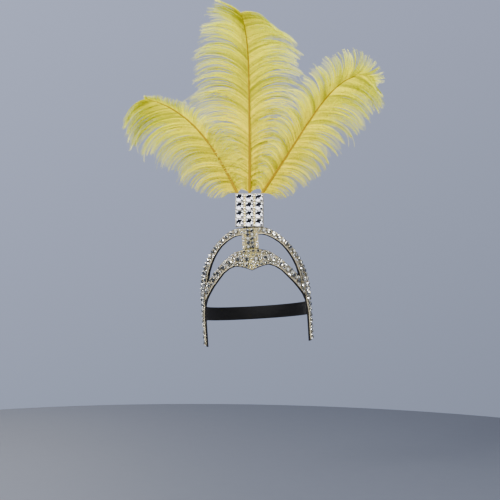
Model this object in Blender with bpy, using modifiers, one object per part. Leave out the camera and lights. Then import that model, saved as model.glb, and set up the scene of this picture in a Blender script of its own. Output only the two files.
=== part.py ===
"""Carnival feather headdress for Blender 4.5, in metres, with +Z up and the front towards -Y.

The origin is the middle of the hollow for the head, level with the strap where it is sewn to the tails."""

import math

import bmesh
import bpy
import numpy as np
from mathutils import Matrix, Vector

GAP = 0.0003  # between pieces that lie against each other
MERGE = 0.00002  # nearest that two points of a mesh stay apart

# The felt crown, which is cut flat and bent round the head
HALF_WIDTH = 0.094  # middle to the outside of the felt beside the ears
FRONT_DEPTH = 0.100  # line of the ears to the outside of the felt at the brow
PLAN_POWER = 2.3  # 2 bends the felt to an ellipse, more gives flatter sides
FELT_THICK = 0.0025
SIDE_REACH = 0.141  # along the felt, from the middle of the front to a tail's back edge
TAIL_WIDTH = 0.020
BROW_HEIGHT = 0.072  # the strap's middle up to the point of the widow's peak
ARCH_RISE = 0.073  # that point up to the top of the arch
TAIL_DROP = 0.130  # that point down to the ends of the tails
ARCH_WIDTH = 0.013
BAND_WIDTH = 0.0245
POST_WIDTH = 0.027
COLUMN = 0.0125  # width of the flat facets in which the felt and the net bend

# The net sewn on the felt, with its stones
NET_THICK = 0.0010
NET_MARGIN = 0.0017  # felt that shows beside the net
STONE_RISE = 0.0034
STONE_SUNK = 0.0004  # foot of a stone that is fused into the net
STONE_SPACE = 0.0004
TABLE_SHARE = 0.56  # a stone's table as a share of its width
ARCH_STONE = 0.0072
ARCH_PITCH = 0.0096
BAND_STONE = 0.0080
BAND_PITCH = 0.0154
EDGE_STONE = 0.0050
POST_STONE = 0.0060
POST_PITCH = 0.0069

# The crystal panel over the arch, and the plumes that stand in the pocket behind it
SPRAY_LEAN = math.radians(3.65)
PANEL_WIDTH = 0.048
PANEL_HEIGHT = 0.0576
PANEL_THICK = 0.0027
PANEL_FOOT = 0.0009
CRYSTAL = 0.0120
CRYSTAL_THICK = 0.0052
CRYSTAL_CORNER = 0.0026
CRYSTAL_BEVEL = 0.0024
CRYSTAL_SEAT = 0.0014
CRYSTAL_COLUMNS = 3
CRYSTAL_ROWS = 4
COLUMN_PITCH = 0.0164
ROW_PITCH = 0.0139
POCKET_WIDTH = 0.046
POCKET_HEIGHT = 0.0560
POCKET_THICK = 0.0090
POCKET_FOOT = 0.0013
TONGUE_WIDTH = 0.022
TONGUE_DROP = 0.032
QUILL = 0.0030
QUILL_TIP = 0.0009
QUILL_SEAT = 0.018
QUILL_END = 0.985  # share of the plume at which its quill ends
QUILL_POINTS = 15
BORE_PLAY = 0.00042  # round a quill in the pocket
QUILL_SPACING = 0.0205
QUILL_STEP = 0.0020  # each plume stands this much in front of the one on its left
BARE_QUILL = 0.006
VANE_THICK = 0.0014
LOCK_PITCH = 0.0200

# The elastic strap round the back of the head
STRAP_WIDTH = 0.024
STRAP_THICK = 0.0015
STRAP_TAB = 0.018  # sewn inside each tail
STRAP_BACK = 0.092
STRAP_SLOPE = math.radians(5)

# The arch and tail from the middle to the tail's end. Around is a share of SIDE_REACH. Up is a share of
# ARCH_RISE, or below the widow's peak of TAIL_DROP. Deep is the arch's depth straight down, as a share of
# ARCH_WIDTH, and 0 past the gap.
ARCH_ROWS = (
    # around, up, deep
    (0.000, 1.000, 1.00),
    (0.145, 1.000, 1.00),
    (0.205, 0.972, 1.02),
    (0.280, 0.904, 1.06),
    (0.365, 0.800, 1.12),
    (0.460, 0.650, 1.30),
    (0.550, 0.485, 1.60),
    (0.610, 0.370, 1.95),
    (0.665, 0.256, 2.60),
    (0.740, 0.100, 0.00),
    (0.830, -0.062, 0.00),
    (0.905, -0.160, 0.00),
    (0.965, -0.275, 0.00),
    (1.000, -0.430, 0.00),
    (1.000, -1.000, 0.00),
)

# The band's lower edge from the widow's peak to where it meets the tail, with the same shares. Tall is the
# band's height straight up, as a share of BAND_WIDTH, and 0 past the gap.
BAND_ROWS = (
    # around, up, tall
    (0.000, 0.000, 1.50),
    (0.082, 0.064, 1.30),
    (0.143, 0.097, 1.12),
    (0.205, 0.112, 0.99),
    (0.280, 0.066, 0.86),
    (0.365, -0.022, 0.83),
    (0.460, -0.118, 0.87),
    (0.550, -0.200, 0.89),
    (0.610, -0.258, 0.90),
    (0.665, -0.306, 0.92),
    (0.730, -0.362, 0.00),
    (0.800, -0.440, 0.00),
)
TAIL_TOP = -0.580  # where the tail's front edge begins, as a share of TAIL_DROP

# Each plume: length of its quill, longest barb, the quill's heading at the foot, what is added evenly along
# it and towards the tip, how it nods forward there, and how far its left and right barbs bow forward. Angles
# are in degrees, positive to the right or forward.
PLUMES = {
    # name: length, barb, foot, sway, tip, tip_power, tilt, nod, nod_power, bow_left, bow_right
    "feather_left": (0.237, 0.112, -26, -12, -46, 2.6, -4, 50, 5, 22, -22),
    "feather_centre": (0.311, 0.110, 0, -1, -22, 8.0, 0, 48, 6, 25, -20),
    "feather_right": (0.295, 0.092, 34, -3, 104, 6.0, 4, 50, 6, 25, 25),
}

# The barbs of each plume at stations along its quill. Left and right are lengths as shares of the longest
# barb, spread is the angle from the quill at which a barb starts, and curl is how far it turns from there.
BARB_ROWS = {
    # along, left, right, spread_left, spread_right, curl
    "feather_left": (
        (0.00, 0.30, 0.20, 58, 60, 64),
        (0.14, 0.64, 0.36, 50, 50, 76),
        (0.35, 0.88, 0.39, 42, 40, 82),
        (0.60, 1.00, 0.30, 36, 26, 78),
        (0.82, 0.92, 0.20, 34, 14, 66),
        (1.00, 0.54, 0.16, 18, 8, 40),
    ),
    "feather_centre": (
        (0.00, 0.27, 0.24, 50, 50, 60),
        (0.14, 0.64, 0.50, 46, 46, 76),
        (0.35, 0.87, 0.76, 44, 44, 86),
        (0.60, 1.00, 0.95, 40, 40, 88),
        (0.82, 0.96, 0.86, 36, 48, 84),
        (1.00, 0.54, 0.42, 28, 74, 62),
    ),
    "feather_right": (
        (0.00, 0.26, 0.37, 50, 55, 60),
        (0.14, 0.46, 0.67, 44, 48, 76),
        (0.35, 0.59, 0.87, 36, 44, 86),
        (0.60, 0.63, 1.00, 28, 40, 84),
        (0.82, 0.52, 0.95, 20, 36, 76),
        (1.00, 0.26, 0.60, 10, 18, 45),
    ),
}
LOCK_STOPS = (0.0, 0.3, 0.6, 0.85)  # where a lock's outline has its points, as shares of its length
LOCK_SLIMS = (0.0, 0.0, 0.14, 0.26)  # what each side of a lock gives up there, as a share of its pitch


def material(name, colour, roughness, metallic=0.0):
    made = bpy.data.materials.new(name)
    made.use_nodes = True
    shader = made.node_tree.nodes["Principled BSDF"]
    shader.inputs["Base Color"].default_value = (*colour, 1)
    shader.inputs["Roughness"].default_value = roughness
    shader.inputs["Metallic"].default_value = metallic
    return made


def new_object(name, mesh, collection, finish=None):
    made = bpy.data.objects.new(name, mesh)
    collection.objects.link(made)
    if finish:
        made.data.materials.clear()
        made.data.materials.append(finish)
    return made


def mesh_from(name, built):
    mesh = bpy.data.meshes.new(name)
    built.to_mesh(mesh)
    built.free()
    return mesh


def evaluated_mesh(name, shape):
    """The object's shape with its modifiers applied, as a mesh of its own. The object is removed."""
    bpy.context.view_layer.update()
    graph = bpy.context.evaluated_depsgraph_get()
    mesh = bpy.data.meshes.new_from_object(shape.evaluated_get(graph))
    mesh.name = name
    bpy.data.objects.remove(shape)
    return mesh


def boolean(target, tool, operation):
    change = target.modifiers.new(operation.lower(), "BOOLEAN")
    change.operation = operation
    change.solver = "EXACT"
    change.object = tool
    return change


def hide(tool):
    tool.hide_render = True
    tool.display_type = "WIRE"


def smooth_curve(points, spacing):
    """A smooth line through the points, with its own points about a spacing apart."""
    points = np.array(points, float)
    ends = np.vstack([2 * points[0] - points[1], points, 2 * points[-1] - points[-2]])
    line = []
    for before, start, stop, after in zip(ends, ends[1:], ends[2:], ends[3:]):
        count = max(1, round(np.linalg.norm(stop - start) / spacing))
        t = (np.arange(count) / count)[:, None]
        line.append(
            0.5
            * (
                2 * start
                + (stop - before) * t
                + (2 * before - 5 * start + 4 * stop - after) * t**2
                + (3 * start - before - 3 * stop + after) * t**3
            )
        )
    return np.vstack([*line, points[-1]])


def line_length(line):
    return np.r_[0, np.cumsum(np.linalg.norm(np.diff(line, axis=0), axis=1))]


def offset_line(line, distance):
    """The line moved to its left by the distance, which is to its right where it is negative."""
    ways = np.gradient(line, axis=0)
    lefts = np.column_stack([-ways[:, 1], ways[:, 0]])
    return line + distance * lefts / np.linalg.norm(lefts, axis=1)[:, None]


def from_side(line, around):
    """The part of the line that lies past this distance round the crown, starting right there."""
    start = np.interp(around, line[:, 0], line[:, 1])
    return np.vstack([(around, start), line[line[:, 0] > around + GAP]])


def height(share):
    return share * (ARCH_RISE if share > 0 else TAIL_DROP)


# The felt's plan, from its front to beside the ear: distance along it, place and the way it faces
plan_turn = np.linspace(0, math.pi / 2, 721)
plan_x = HALF_WIDTH * np.sin(plan_turn) ** (2 / PLAN_POWER)
plan_y = -FRONT_DEPTH * np.cos(plan_turn) ** (2 / PLAN_POWER)
plan_along = np.r_[0, np.cumsum(np.hypot(np.diff(plan_x), np.diff(plan_y)))]
plan_face_x = (plan_x / HALF_WIDTH) ** (PLAN_POWER - 1) / HALF_WIDTH
plan_face_y = -((-plan_y / FRONT_DEPTH) ** (PLAN_POWER - 1)) / FRONT_DEPTH
plan_face = np.hypot(plan_face_x, plan_face_y)


def on_plan(around, outwards):
    """The place in plan this far round the crown from the middle of its front, and outwards from the felt."""
    side = -1 if around < 0 else 1
    facing = np.array(
        [
            np.interp(abs(around), plan_along, plan_face_x / plan_face),
            np.interp(abs(around), plan_along, plan_face_y / plan_face),
        ]
    )
    place = np.array(
        [
            np.interp(abs(around), plan_along, plan_x),
            np.interp(abs(around), plan_along, plan_y),
        ]
    )
    x, y = place + outwards * facing
    return side * x, y


def bend(mesh):
    """Bends a flat mesh, whose X runs round the crown and whose -Y points outwards, to the felt's plan."""
    for vertex in mesh.vertices:
        x, y = on_plan(vertex.co.x, -vertex.co.y)
        vertex.co = (x, y, vertex.co.z + BROW_HEIGHT)


def crown_lines():
    """The crown's edges on the right, as flat lines of (around, up) from the middle of the front."""
    tail_front = 1 - TAIL_WIDTH / SIDE_REACH
    outer = [(row[0] * SIDE_REACH, height(row[1])) for row in ARCH_ROWS]
    brow = [(row[0] * SIDE_REACH, height(row[1])) for row in BAND_ROWS]
    brow += [(tail_front * SIDE_REACH, height(share)) for share in (TAIL_TOP, -1)]
    arch_low = [
        (row[0] * SIDE_REACH, height(row[1]) - row[2] * ARCH_WIDTH)
        for row in ARCH_ROWS
        if row[2]
    ]
    band_top = [
        (row[0] * SIDE_REACH, height(row[1]) + row[2] * BAND_WIDTH)
        for row in BAND_ROWS
        if row[2]
    ]
    arch_low, band_top = smooth_curve(arch_low, COLUMN), smooth_curve(band_top, COLUMN)
    # The gap ends where the band has risen to the arch, or at the last row of the tables.
    steps = np.linspace(POST_WIDTH / 2, min(arch_low[-1, 0], band_top[-1, 0]), 200)
    room = np.interp(steps, *arch_low.T) - np.interp(steps, *band_top.T)
    end = steps[np.argmax(room < NET_MARGIN)] if (room < NET_MARGIN).any() else steps[-1]
    tip = (end, (np.interp(end, *arch_low.T) + np.interp(end, *band_top.T)) / 2)
    return {
        "outer": smooth_curve(outer, COLUMN),
        "brow": smooth_curve(brow, COLUMN),
        "arch_low": np.vstack([arch_low[arch_low[:, 0] < end - COLUMN / 2], tip]),
        "band_top": np.vstack([band_top[band_top[:, 0] < end - COLUMN / 2], tip]),
    }


def mirrored(line):
    return line[::-1] * (-1, 1)


def flat_plate(name, outlines, inside, outside, collection):
    """A flat plate with these outlines, cut in columns, from inside to outside of the felt's outer face."""
    curve = bpy.data.curves.new(name, "CURVE")
    curve.dimensions = "2D"
    curve.fill_mode = "BOTH"
    curve.extrude = (outside - inside) / 2
    for outline in outlines:
        spline = curve.splines.new("POLY")
        spline.points.add(len(outline) - 1)
        for point, (around, up) in zip(spline.points, outline):
            point.co = (around, up, 0, 1)
        spline.use_cyclic_u = True
    mesh = evaluated_mesh(name, new_object(name, curve, collection))
    plate = bmesh.new()
    plate.from_mesh(mesh)
    bpy.data.meshes.remove(mesh)
    bmesh.ops.remove_doubles(plate, verts=plate.verts, dist=MERGE)
    stand = Matrix.Translation((0, -(inside + outside) / 2, 0)) @ Matrix.Rotation(math.pi / 2, 4, "X")
    plate.transform(stand)
    reach = max(abs(point[0]) for outline in outlines for point in outline)
    for number in range(-int(reach // COLUMN), int(reach // COLUMN) + 1):
        bmesh.ops.bisect_plane(
            plate,
            geom=[*plate.verts, *plate.edges, *plate.faces],
            dist=MERGE,
            plane_co=(number * COLUMN, 0, 0),
            plane_no=(1, 0, 0),
        )
    bmesh.ops.recalc_face_normals(plate, faces=plate.faces)
    return new_object(name, mesh_from(name, plate), collection)


def stones_along(line, inset, pitch, width, start):
    """Stones on a line that runs this far to the left of an edge: (around, up, width)."""
    row = offset_line(line, inset)
    along = line_length(row)
    places = np.arange(start, along[-1] - width / 2, pitch)
    return [(np.interp(p, along, row[:, 0]), np.interp(p, along, row[:, 1]), width) for p in places]


def without_touching(stones):
    """The stones in their order, less each that would touch one already set."""
    kept = []
    for around, up, width in stones:
        clear = [
            math.hypot(around - other[0], up - other[1]) > (width + other[2]) / 2 + STONE_SPACE
            for other in kept
        ]
        if all(clear):
            kept.append((around, up, width))
    return kept


def jewelled_net(name, outline, stones, parts, finish):
    """A strip of net with its stones fused to it, laid on the felt."""
    inside = GAP
    plate = flat_plate(name + "_flat", [outline], inside, inside + NET_THICK, parts)
    cut = bmesh.new()
    foot = inside + NET_THICK - STONE_SUNK
    tall = STONE_RISE + STONE_SUNK
    for around, up, width in stones:
        place = Matrix.Translation((around, -foot - tall / 2, up)) @ Matrix.Rotation(math.pi / 2, 4, "X")
        bmesh.ops.create_cone(
            cut,
            cap_ends=True,
            segments=8,
            radius1=width / 2,
            radius2=width / 2 * TABLE_SHARE,
            depth=tall,
            matrix=place @ Matrix.Rotation(math.pi / 8, 4, "Z"),
        )
    tool = new_object(name + "_stones", mesh_from(name, cut), parts)
    boolean(plate, tool, "UNION")
    mesh = evaluated_mesh(name, plate)
    bpy.data.objects.remove(tool)
    bend(mesh)
    return new_object(name, mesh, parts, finish)


def make_felt_crown(lines, parts, finish):
    outside = np.vstack([lines["outer"], lines["brow"][:0:-1]])
    outline = np.vstack([outside, [lines["brow"][0]], mirrored(outside)[:-1]])
    gap = np.vstack(
        [from_side(lines["arch_low"], POST_WIDTH / 2), from_side(lines["band_top"], POST_WIDTH / 2)[-2::-1]]
    )
    plate = flat_plate("felt_crown_flat", [outline, gap, mirrored(gap)], -FELT_THICK, 0, parts)
    mesh = evaluated_mesh("felt_crown", plate)
    bend(mesh)
    return new_object("felt_crown", mesh, parts, finish)


def make_trims(lines, parts, finish):
    """The net strips over the arch and tails, the brow band and the post."""
    seam = np.array([lines["arch_low"][-1], lines["brow"][np.argmax(lines["brow"][:, 1] < height(TAIL_TOP))]])
    seam = smooth_curve(seam, COLUMN)[1:]
    tail_edge = lines["brow"][lines["brow"][:, 1] < height(TAIL_TOP) - NET_MARGIN]
    arch_low = np.vstack([lines["arch_low"], seam, tail_edge])
    band_top = np.vstack([lines["band_top"], seam])
    band_low = lines["brow"][lines["brow"][:, 1] > height(TAIL_TOP)]
    post_side = POST_WIDTH / 2 + GAP
    end_up = height(-1) + NET_MARGIN

    top = from_side(offset_line(lines["outer"], -NET_MARGIN / 2), post_side)
    low = from_side(offset_line(arch_low, NET_MARGIN), post_side)
    top, low = top[top[:, 1] > end_up], low[low[:, 1] > end_up]
    arch_outline = np.vstack([top, (top[-1, 0], end_up), (low[-1, 0], end_up), low[::-1]])
    stones = stones_along(
        lines["outer"], -(ARCH_STONE / 2 + NET_MARGIN / 2 + GAP), ARCH_PITCH, ARCH_STONE, post_side + ARCH_PITCH
    )
    stones += stones_along(
        arch_low, ARCH_STONE / 2 + NET_MARGIN + GAP, ARCH_PITCH, ARCH_STONE, post_side + ARCH_PITCH / 2
    )
    arch_stones = [
        stone
        for stone in without_touching(stones)
        if stone[0] > post_side + ARCH_STONE / 2 and stone[1] > end_up + ARCH_STONE / 2
    ]
    for side, name in ((-1, "arch_trim_left"), (1, "arch_trim_right")):
        outline = arch_outline * (side, 1)
        jewelled_net(name, outline, [(side * around, up, width) for around, up, width in arch_stones], parts, finish)

    top = from_side(offset_line(band_top, -NET_MARGIN / 2), 0)
    low = from_side(offset_line(band_low, NET_MARGIN), 0)
    top = top[top[:, 1] > np.interp(top[:, 0], *low.T) + NET_MARGIN]
    low = low[low[:, 0] < top[-1, 0]]
    half = np.vstack([low, top[::-1]])
    band_outline = np.vstack([half, mirrored(half)[1:-1]])
    middle = (np.column_stack([band_low[:, 0], np.interp(band_low[:, 0], *band_top.T)]) + band_low) / 2
    stones = stones_along(middle, 0, BAND_PITCH, BAND_STONE, BAND_PITCH / 2)
    small = BAND_PITCH / 2
    stones += stones_along(band_low, NET_MARGIN + EDGE_STONE / 2 + GAP, small, EDGE_STONE, small / 2)
    stones += stones_along(band_top, -(NET_MARGIN + EDGE_STONE) / 2 - GAP, small, EDGE_STONE, small / 2)
    stones = [
        stone
        for stone in without_touching(stones)
        if stone[0] > (stone[2] + STONE_SPACE) / 2
        and np.interp(stone[0], *low.T) + stone[2] / 2 < stone[1] < np.interp(stone[0], *top.T) - stone[2] / 2
    ]
    left = [(-around, up, width) for around, up, width in stones]
    jewelled_net("brow_trim", band_outline, stones + left, parts, finish)

    side = POST_WIDTH / 2
    foot, head = band_top[0, 1] + GAP, height(1) - NET_MARGIN / 2
    post_outline = [(-side, foot), (side, foot), (side, head), (-side, head)]
    count = int((head - foot - POST_STONE) // POST_PITCH) + 1
    first = (foot + head - (count - 1) * POST_PITCH) / 2
    across = (POST_STONE + STONE_SPACE) / 2 + GAP
    stones = [
        (side * across, first + number * POST_PITCH, POST_STONE) for number in range(count) for side in (-1, 1)
    ]
    jewelled_net("post_trim", np.array(post_outline), stones, parts, finish)


def box(name, low, high, collection):
    """A box between two corners."""
    low, high = Vector(low), Vector(high)
    made = bmesh.new()
    place = Matrix.Translation((low + high) / 2) @ Matrix.Diagonal((*(high - low), 1))
    bmesh.ops.create_cube(made, size=1, matrix=place)
    return new_object(name, mesh_from(name, made), collection)


def joined(name, objects, collection):
    """One object with the meshes of these, which are removed."""
    made = bmesh.new()
    for part in objects:
        made.from_mesh(part.data)
        bpy.data.objects.remove(part)
    return new_object(name, mesh_from(name, made), collection)


def crystal_places():
    """Name and middle of each crystal in the panel, in the spray's frame."""
    middle = PANEL_FOOT + PANEL_HEIGHT / 2
    for row in range(CRYSTAL_ROWS):
        for column in range(CRYSTAL_COLUMNS):
            x = (column - (CRYSTAL_COLUMNS - 1) / 2) * COLUMN_PITCH
            z = middle + ((CRYSTAL_ROWS - 1) / 2 - row) * ROW_PITCH
            yield f"crystal_r{row + 1}_c{column + 1}", x, z


def make_panel(spray, parts, cutters, silver, glass):
    """The silver plate with a square seat for each crystal, and the crystals in their seats."""
    face = -GAP - PANEL_THICK
    half = PANEL_WIDTH / 2
    plate = box("panel_plate", (-half, face, PANEL_FOOT), (half, -GAP, PANEL_FOOT + PANEL_HEIGHT), parts)
    plate.data.materials.append(silver)
    plate.parent = spray
    seat = CRYSTAL / 2 + GAP
    floor = face + CRYSTAL_SEAT
    seats = [
        box(name + "_seat", (x - seat, face - CRYSTAL_SEAT, z - seat), (x + seat, floor, z + seat), cutters)
        for name, x, z in crystal_places()
    ]
    cutter = joined("crystal_seats", seats, cutters)
    cutter.parent = spray
    hide(cutter)
    boolean(plate, cutter, "DIFFERENCE")
    for name, x, z in crystal_places():
        crystal = new_object(name, crystal_mesh(name), parts, glass)
        crystal.location = (x, floor - GAP, z)
        crystal.rotation_euler = (math.pi / 2, 0, 0)
        crystal.parent = spray


def crystal_mesh(name):
    """A square crystal with cut corners and a bevelled crown, lying on its back with its table up."""
    made = bmesh.new()
    girdle = CRYSTAL_THICK - CRYSTAL_BEVEL
    place = Matrix.Translation((0, 0, girdle / 2)) @ Matrix.Diagonal((CRYSTAL, CRYSTAL, girdle, 1))
    bmesh.ops.create_cube(made, size=1, matrix=place)
    corners = [edge for edge in made.edges if abs(edge.verts[0].co.z - edge.verts[1].co.z) > girdle / 2]
    bmesh.ops.bevel(made, geom=corners, offset=CRYSTAL_CORNER, offset_type="OFFSET", segments=1, affect="EDGES")
    top = [face for face in made.faces if face.normal.z > 0.9]
    bmesh.ops.inset_region(made, faces=top, thickness=CRYSTAL_BEVEL, depth=0)
    for vertex in top[0].verts:
        vertex.co.z = CRYSTAL_THICK
    return mesh_from(name, made)


def plume_foot(name):
    """Where a plume's quill leaves the top of the pocket, in the spray's frame."""
    number = list(PLUMES).index(name) - 1
    middle = POCKET_THICK / 2
    return np.array([number * QUILL_SPACING, middle - number * QUILL_STEP, POCKET_FOOT + POCKET_HEIGHT])


def quill_frames(name, stations):
    """Place, direction and right-hand side of a plume's quill at shares of its length from its foot."""
    length, _, foot, sway, tip, tip_power, tilt, nod, nod_power, _, _ = PLUMES[name]
    s = np.linspace(0, 1, 241)
    heading = np.radians(foot + sway * s + tip * s**tip_power)
    pitch = np.radians(tilt + nod * s**nod_power)
    ways = np.column_stack([np.sin(heading) * np.cos(pitch), -np.sin(pitch), np.cos(heading) * np.cos(pitch)])
    sides = np.column_stack([np.cos(heading), 0 * s, -np.sin(heading)])
    steps = (ways[1:] + ways[:-1]) / 2 * length / (len(s) - 1)
    places = plume_foot(name) + np.vstack([np.zeros(3), np.cumsum(steps, axis=0)])
    frames = []
    for share in np.atleast_1d(stations):
        frames.append([np.array([np.interp(share, s, column) for column in table.T]) for table in (places, ways, sides)])
    return frames


def barb_line(name, share, side, stops):
    """Points along one barb, at shares of its length. Side is -1 on the left of the quill and 1 on the right."""
    length, barb, bows = PLUMES[name][0], PLUMES[name][1], PLUMES[name][-2:]
    along = (share * length - BARE_QUILL) / (length - BARE_QUILL)
    table = np.array(BARB_ROWS[name])
    left, right, spread_left, spread_right, curl = [np.interp(along, table[:, 0], c) for c in table[:, 1:].T]
    reach, spread, bow = (left, spread_left, bows[0]) if side < 0 else (right, spread_right, bows[1])
    place, way, facing = quill_frames(name, share)[0]
    forward = np.cross(way, facing)
    q = np.linspace(0, 1, 25)
    turn = np.radians(spread + curl * q**1.3)
    rise = np.radians(bow) * (1 - 2 * q)
    ways = (
        np.outer(np.cos(turn) * np.cos(rise), way)
        + np.outer(np.sin(turn) * np.cos(rise), side * facing)
        + np.outer(np.sin(rise), -forward if forward[1] > 0 else forward)
    )
    steps = (ways[1:] + ways[:-1]) / 2 * reach * barb / (len(q) - 1)
    points = place + np.vstack([np.zeros(3), np.cumsum(steps, axis=0)])
    return np.column_stack([np.interp(stops, q, column) for column in points.T])


def vane_mesh(name):
    """The open sheet of a plume's vane: locks that are one sheet beside the quill and part towards their tips."""
    length = PLUMES[name][0]
    first = BARE_QUILL / length
    count = round((length - BARE_QUILL) / LOCK_PITCH)
    joints = np.linspace(first, 1, count + 1)
    pitch = joints[1] - joints[0]
    sheet = bmesh.new()
    spine = [sheet.verts.new(frame[0]) for frame in quill_frames(name, joints)]
    for side in (-1, 1):
        shared = [sheet.verts.new(barb_line(name, share, side, [LOCK_STOPS[1]])[0]) for share in joints]
        for number in range(count):
            low, high = joints[number], joints[number + 1]
            lower, upper = [spine[number], shared[number]], [spine[number + 1], shared[number + 1]]
            for stop, slim in list(zip(LOCK_STOPS, LOCK_SLIMS))[2:]:
                lower.append(sheet.verts.new(barb_line(name, low + slim * pitch, side, [stop])[0]))
                upper.append(sheet.verts.new(barb_line(name, high - slim * pitch, side, [stop])[0]))
            for a, b, c, d in zip(lower, lower[1:], upper[1:], upper):
                sheet.faces.new((a, b, c, d) if side > 0 else (d, c, b, a))
            tip = sheet.verts.new(barb_line(name, (low + high) / 2, side, [1.0])[0])
            sheet.faces.new((lower[-1], tip, upper[-1]) if side > 0 else (upper[-1], tip, lower[-1]))
    return mesh_from(name, sheet)


def quill_tool(name, collection):
    """The quill as a tapered tube, from its seat in the pocket to the plume's tip."""
    curve = bpy.data.curves.new(name + "_quill", "CURVE")
    curve.dimensions = "3D"
    curve.bevel_depth = QUILL / 2
    curve.bevel_resolution = 1
    curve.use_fill_caps = True
    frames = quill_frames(name, np.linspace(0, QUILL_END, QUILL_POINTS))
    places = [frames[0][0] - QUILL_SEAT * frames[0][1]] + [frame[0] for frame in frames]
    spline = curve.splines.new("POLY")
    spline.points.add(len(places) - 1)
    for number, (point, place) in enumerate(zip(spline.points, places)):
        point.co = (*place, 1)
        point.radius = 1 - (1 - QUILL_TIP / QUILL) * max(0, number - 1) / (QUILL_POINTS - 1)
    mesh = evaluated_mesh(name + "_quill", new_object(name + "_quill", curve, collection))
    tube = bmesh.new()
    tube.from_mesh(mesh)
    bpy.data.meshes.remove(mesh)
    bmesh.ops.remove_doubles(tube, verts=tube.verts, dist=MERGE)
    return new_object(name + "_quill", mesh_from(name + "_quill", tube), collection)


def make_plume(name, spray, parts, cutters, finish):
    plume = new_object(name, vane_mesh(name), parts, finish)
    plume.parent = spray
    wall = plume.modifiers.new("wall", "SOLIDIFY")
    wall.thickness = VANE_THICK
    wall.offset = 0
    quill = quill_tool(name, cutters)
    quill.parent = spray
    hide(quill)
    boolean(plume, quill, "UNION")


def make_pocket(spray, parts, cutters, finish):
    """The felt sleeve behind the panel, with a hole for each quill and a tongue sewn behind the post."""
    half = POCKET_WIDTH / 2
    top = POCKET_FOOT + POCKET_HEIGHT
    sleeve = box("feather_pocket", (-half, 0, POCKET_FOOT), (half, POCKET_THICK, top), parts)
    sleeve.data.materials.append(finish)
    sleeve.parent = spray
    bulge = FRONT_DEPTH + on_plan(TONGUE_WIDTH / 2 + TONGUE_DROP * math.sin(SPRAY_LEAN), -FELT_THICK)[1]
    half = TONGUE_WIDTH / 2
    tongue = box(
        "pocket_tongue", (-half, bulge + GAP, -TONGUE_DROP), (half, POCKET_THICK, POCKET_FOOT * 2), cutters
    )
    tongue.parent = spray
    hide(tongue)
    boolean(sleeve, tongue, "UNION")
    for name in PLUMES:
        place, way, _ = quill_frames(name, 0)[0]
        bore = bmesh.new()
        turn = Vector(way).to_track_quat("Z", "Y").to_matrix().to_4x4()
        bmesh.ops.create_cone(
            bore,
            cap_ends=True,
            segments=12,
            radius1=QUILL / 2 + BORE_PLAY,
            radius2=QUILL / 2 + BORE_PLAY,
            depth=2 * (QUILL_SEAT + GAP * 2),
            matrix=Matrix.Translation(place) @ turn,
        )
        cut = new_object(name + "_bore", mesh_from(name + "_bore", bore), cutters)
        cut.parent = spray
        hide(cut)
        boolean(sleeve, cut, "DIFFERENCE")


def make_strap(parts, finish):
    """The elastic strap, from inside one tail round the back of the head to the other."""
    inside = -(FELT_THICK + GAP + STRAP_THICK / 2)
    tail = [on_plan(around, inside) for around in np.linspace(SIDE_REACH - STRAP_TAB, SIDE_REACH, 4)]
    across, start = tail[-1]
    turns = np.linspace(0, math.pi / 2, 13)[1:]
    back = STRAP_BACK - STRAP_THICK / 2 - start
    right = tail + [(across * math.cos(turn), start + back * math.sin(turn)) for turn in turns]
    plan = right[:-1] + [(0, right[-1][1])] + [(-x, y) for x, y in right[-2::-1]]
    strip = bmesh.new()
    rows = []
    for x, y in plan:
        drop = -max(0, y - start) * math.tan(STRAP_SLOPE)
        rows.append([strip.verts.new((x, y, drop + side * STRAP_WIDTH / 2)) for side in (-1, 1)])
    for (a, b), (c, d) in zip(rows, rows[1:]):
        strip.faces.new((a, c, d, b))
    strap = new_object("head_strap", mesh_from("head_strap", strip), parts, finish)
    wall = strap.modifiers.new("wall", "SOLIDIFY")
    wall.thickness = STRAP_THICK
    wall.offset = 0
    wall.use_even_offset = True


def main():
    for old in list(bpy.data.objects):
        bpy.data.objects.remove(old)
    parts = bpy.data.collections.new("feather_headdress")
    cutters = bpy.data.collections.new("cutters")
    bpy.context.scene.collection.children.link(parts)
    bpy.context.scene.collection.children.link(cutters)
    felt = material("black_felt", (0.012, 0.012, 0.014), 0.95)
    jewelled = material("jewelled_net", (0.62, 0.57, 0.47), 0.35, 0.3)
    silver = material("silver_setting", (0.78, 0.78, 0.80), 0.25, 1.0)
    glass = material("crystal_glass", (0.90, 0.92, 0.96), 0.05)
    yellow = material("yellow_plume", (0.86, 0.80, 0.22), 0.8)
    elastic = material("black_elastic", (0.02, 0.02, 0.022), 0.8)

    lines = crown_lines()
    make_felt_crown(lines, parts, felt)
    make_trims(lines, parts, jewelled)
    make_strap(parts, elastic)
    spray = bpy.data.objects.new("spray_frame", None)
    parts.objects.link(spray)
    spray.location = (0, -FRONT_DEPTH, BROW_HEIGHT + height(1))
    spray.rotation_euler = (0, SPRAY_LEAN, 0)
    make_panel(spray, parts, cutters, silver, glass)
    make_pocket(spray, parts, cutters, felt)
    for name in PLUMES:
        make_plume(name, spray, parts, cutters, yellow)


main()
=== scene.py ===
import math

import bmesh
import bpy
import numpy as np
from mathutils import Matrix, Vector


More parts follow.
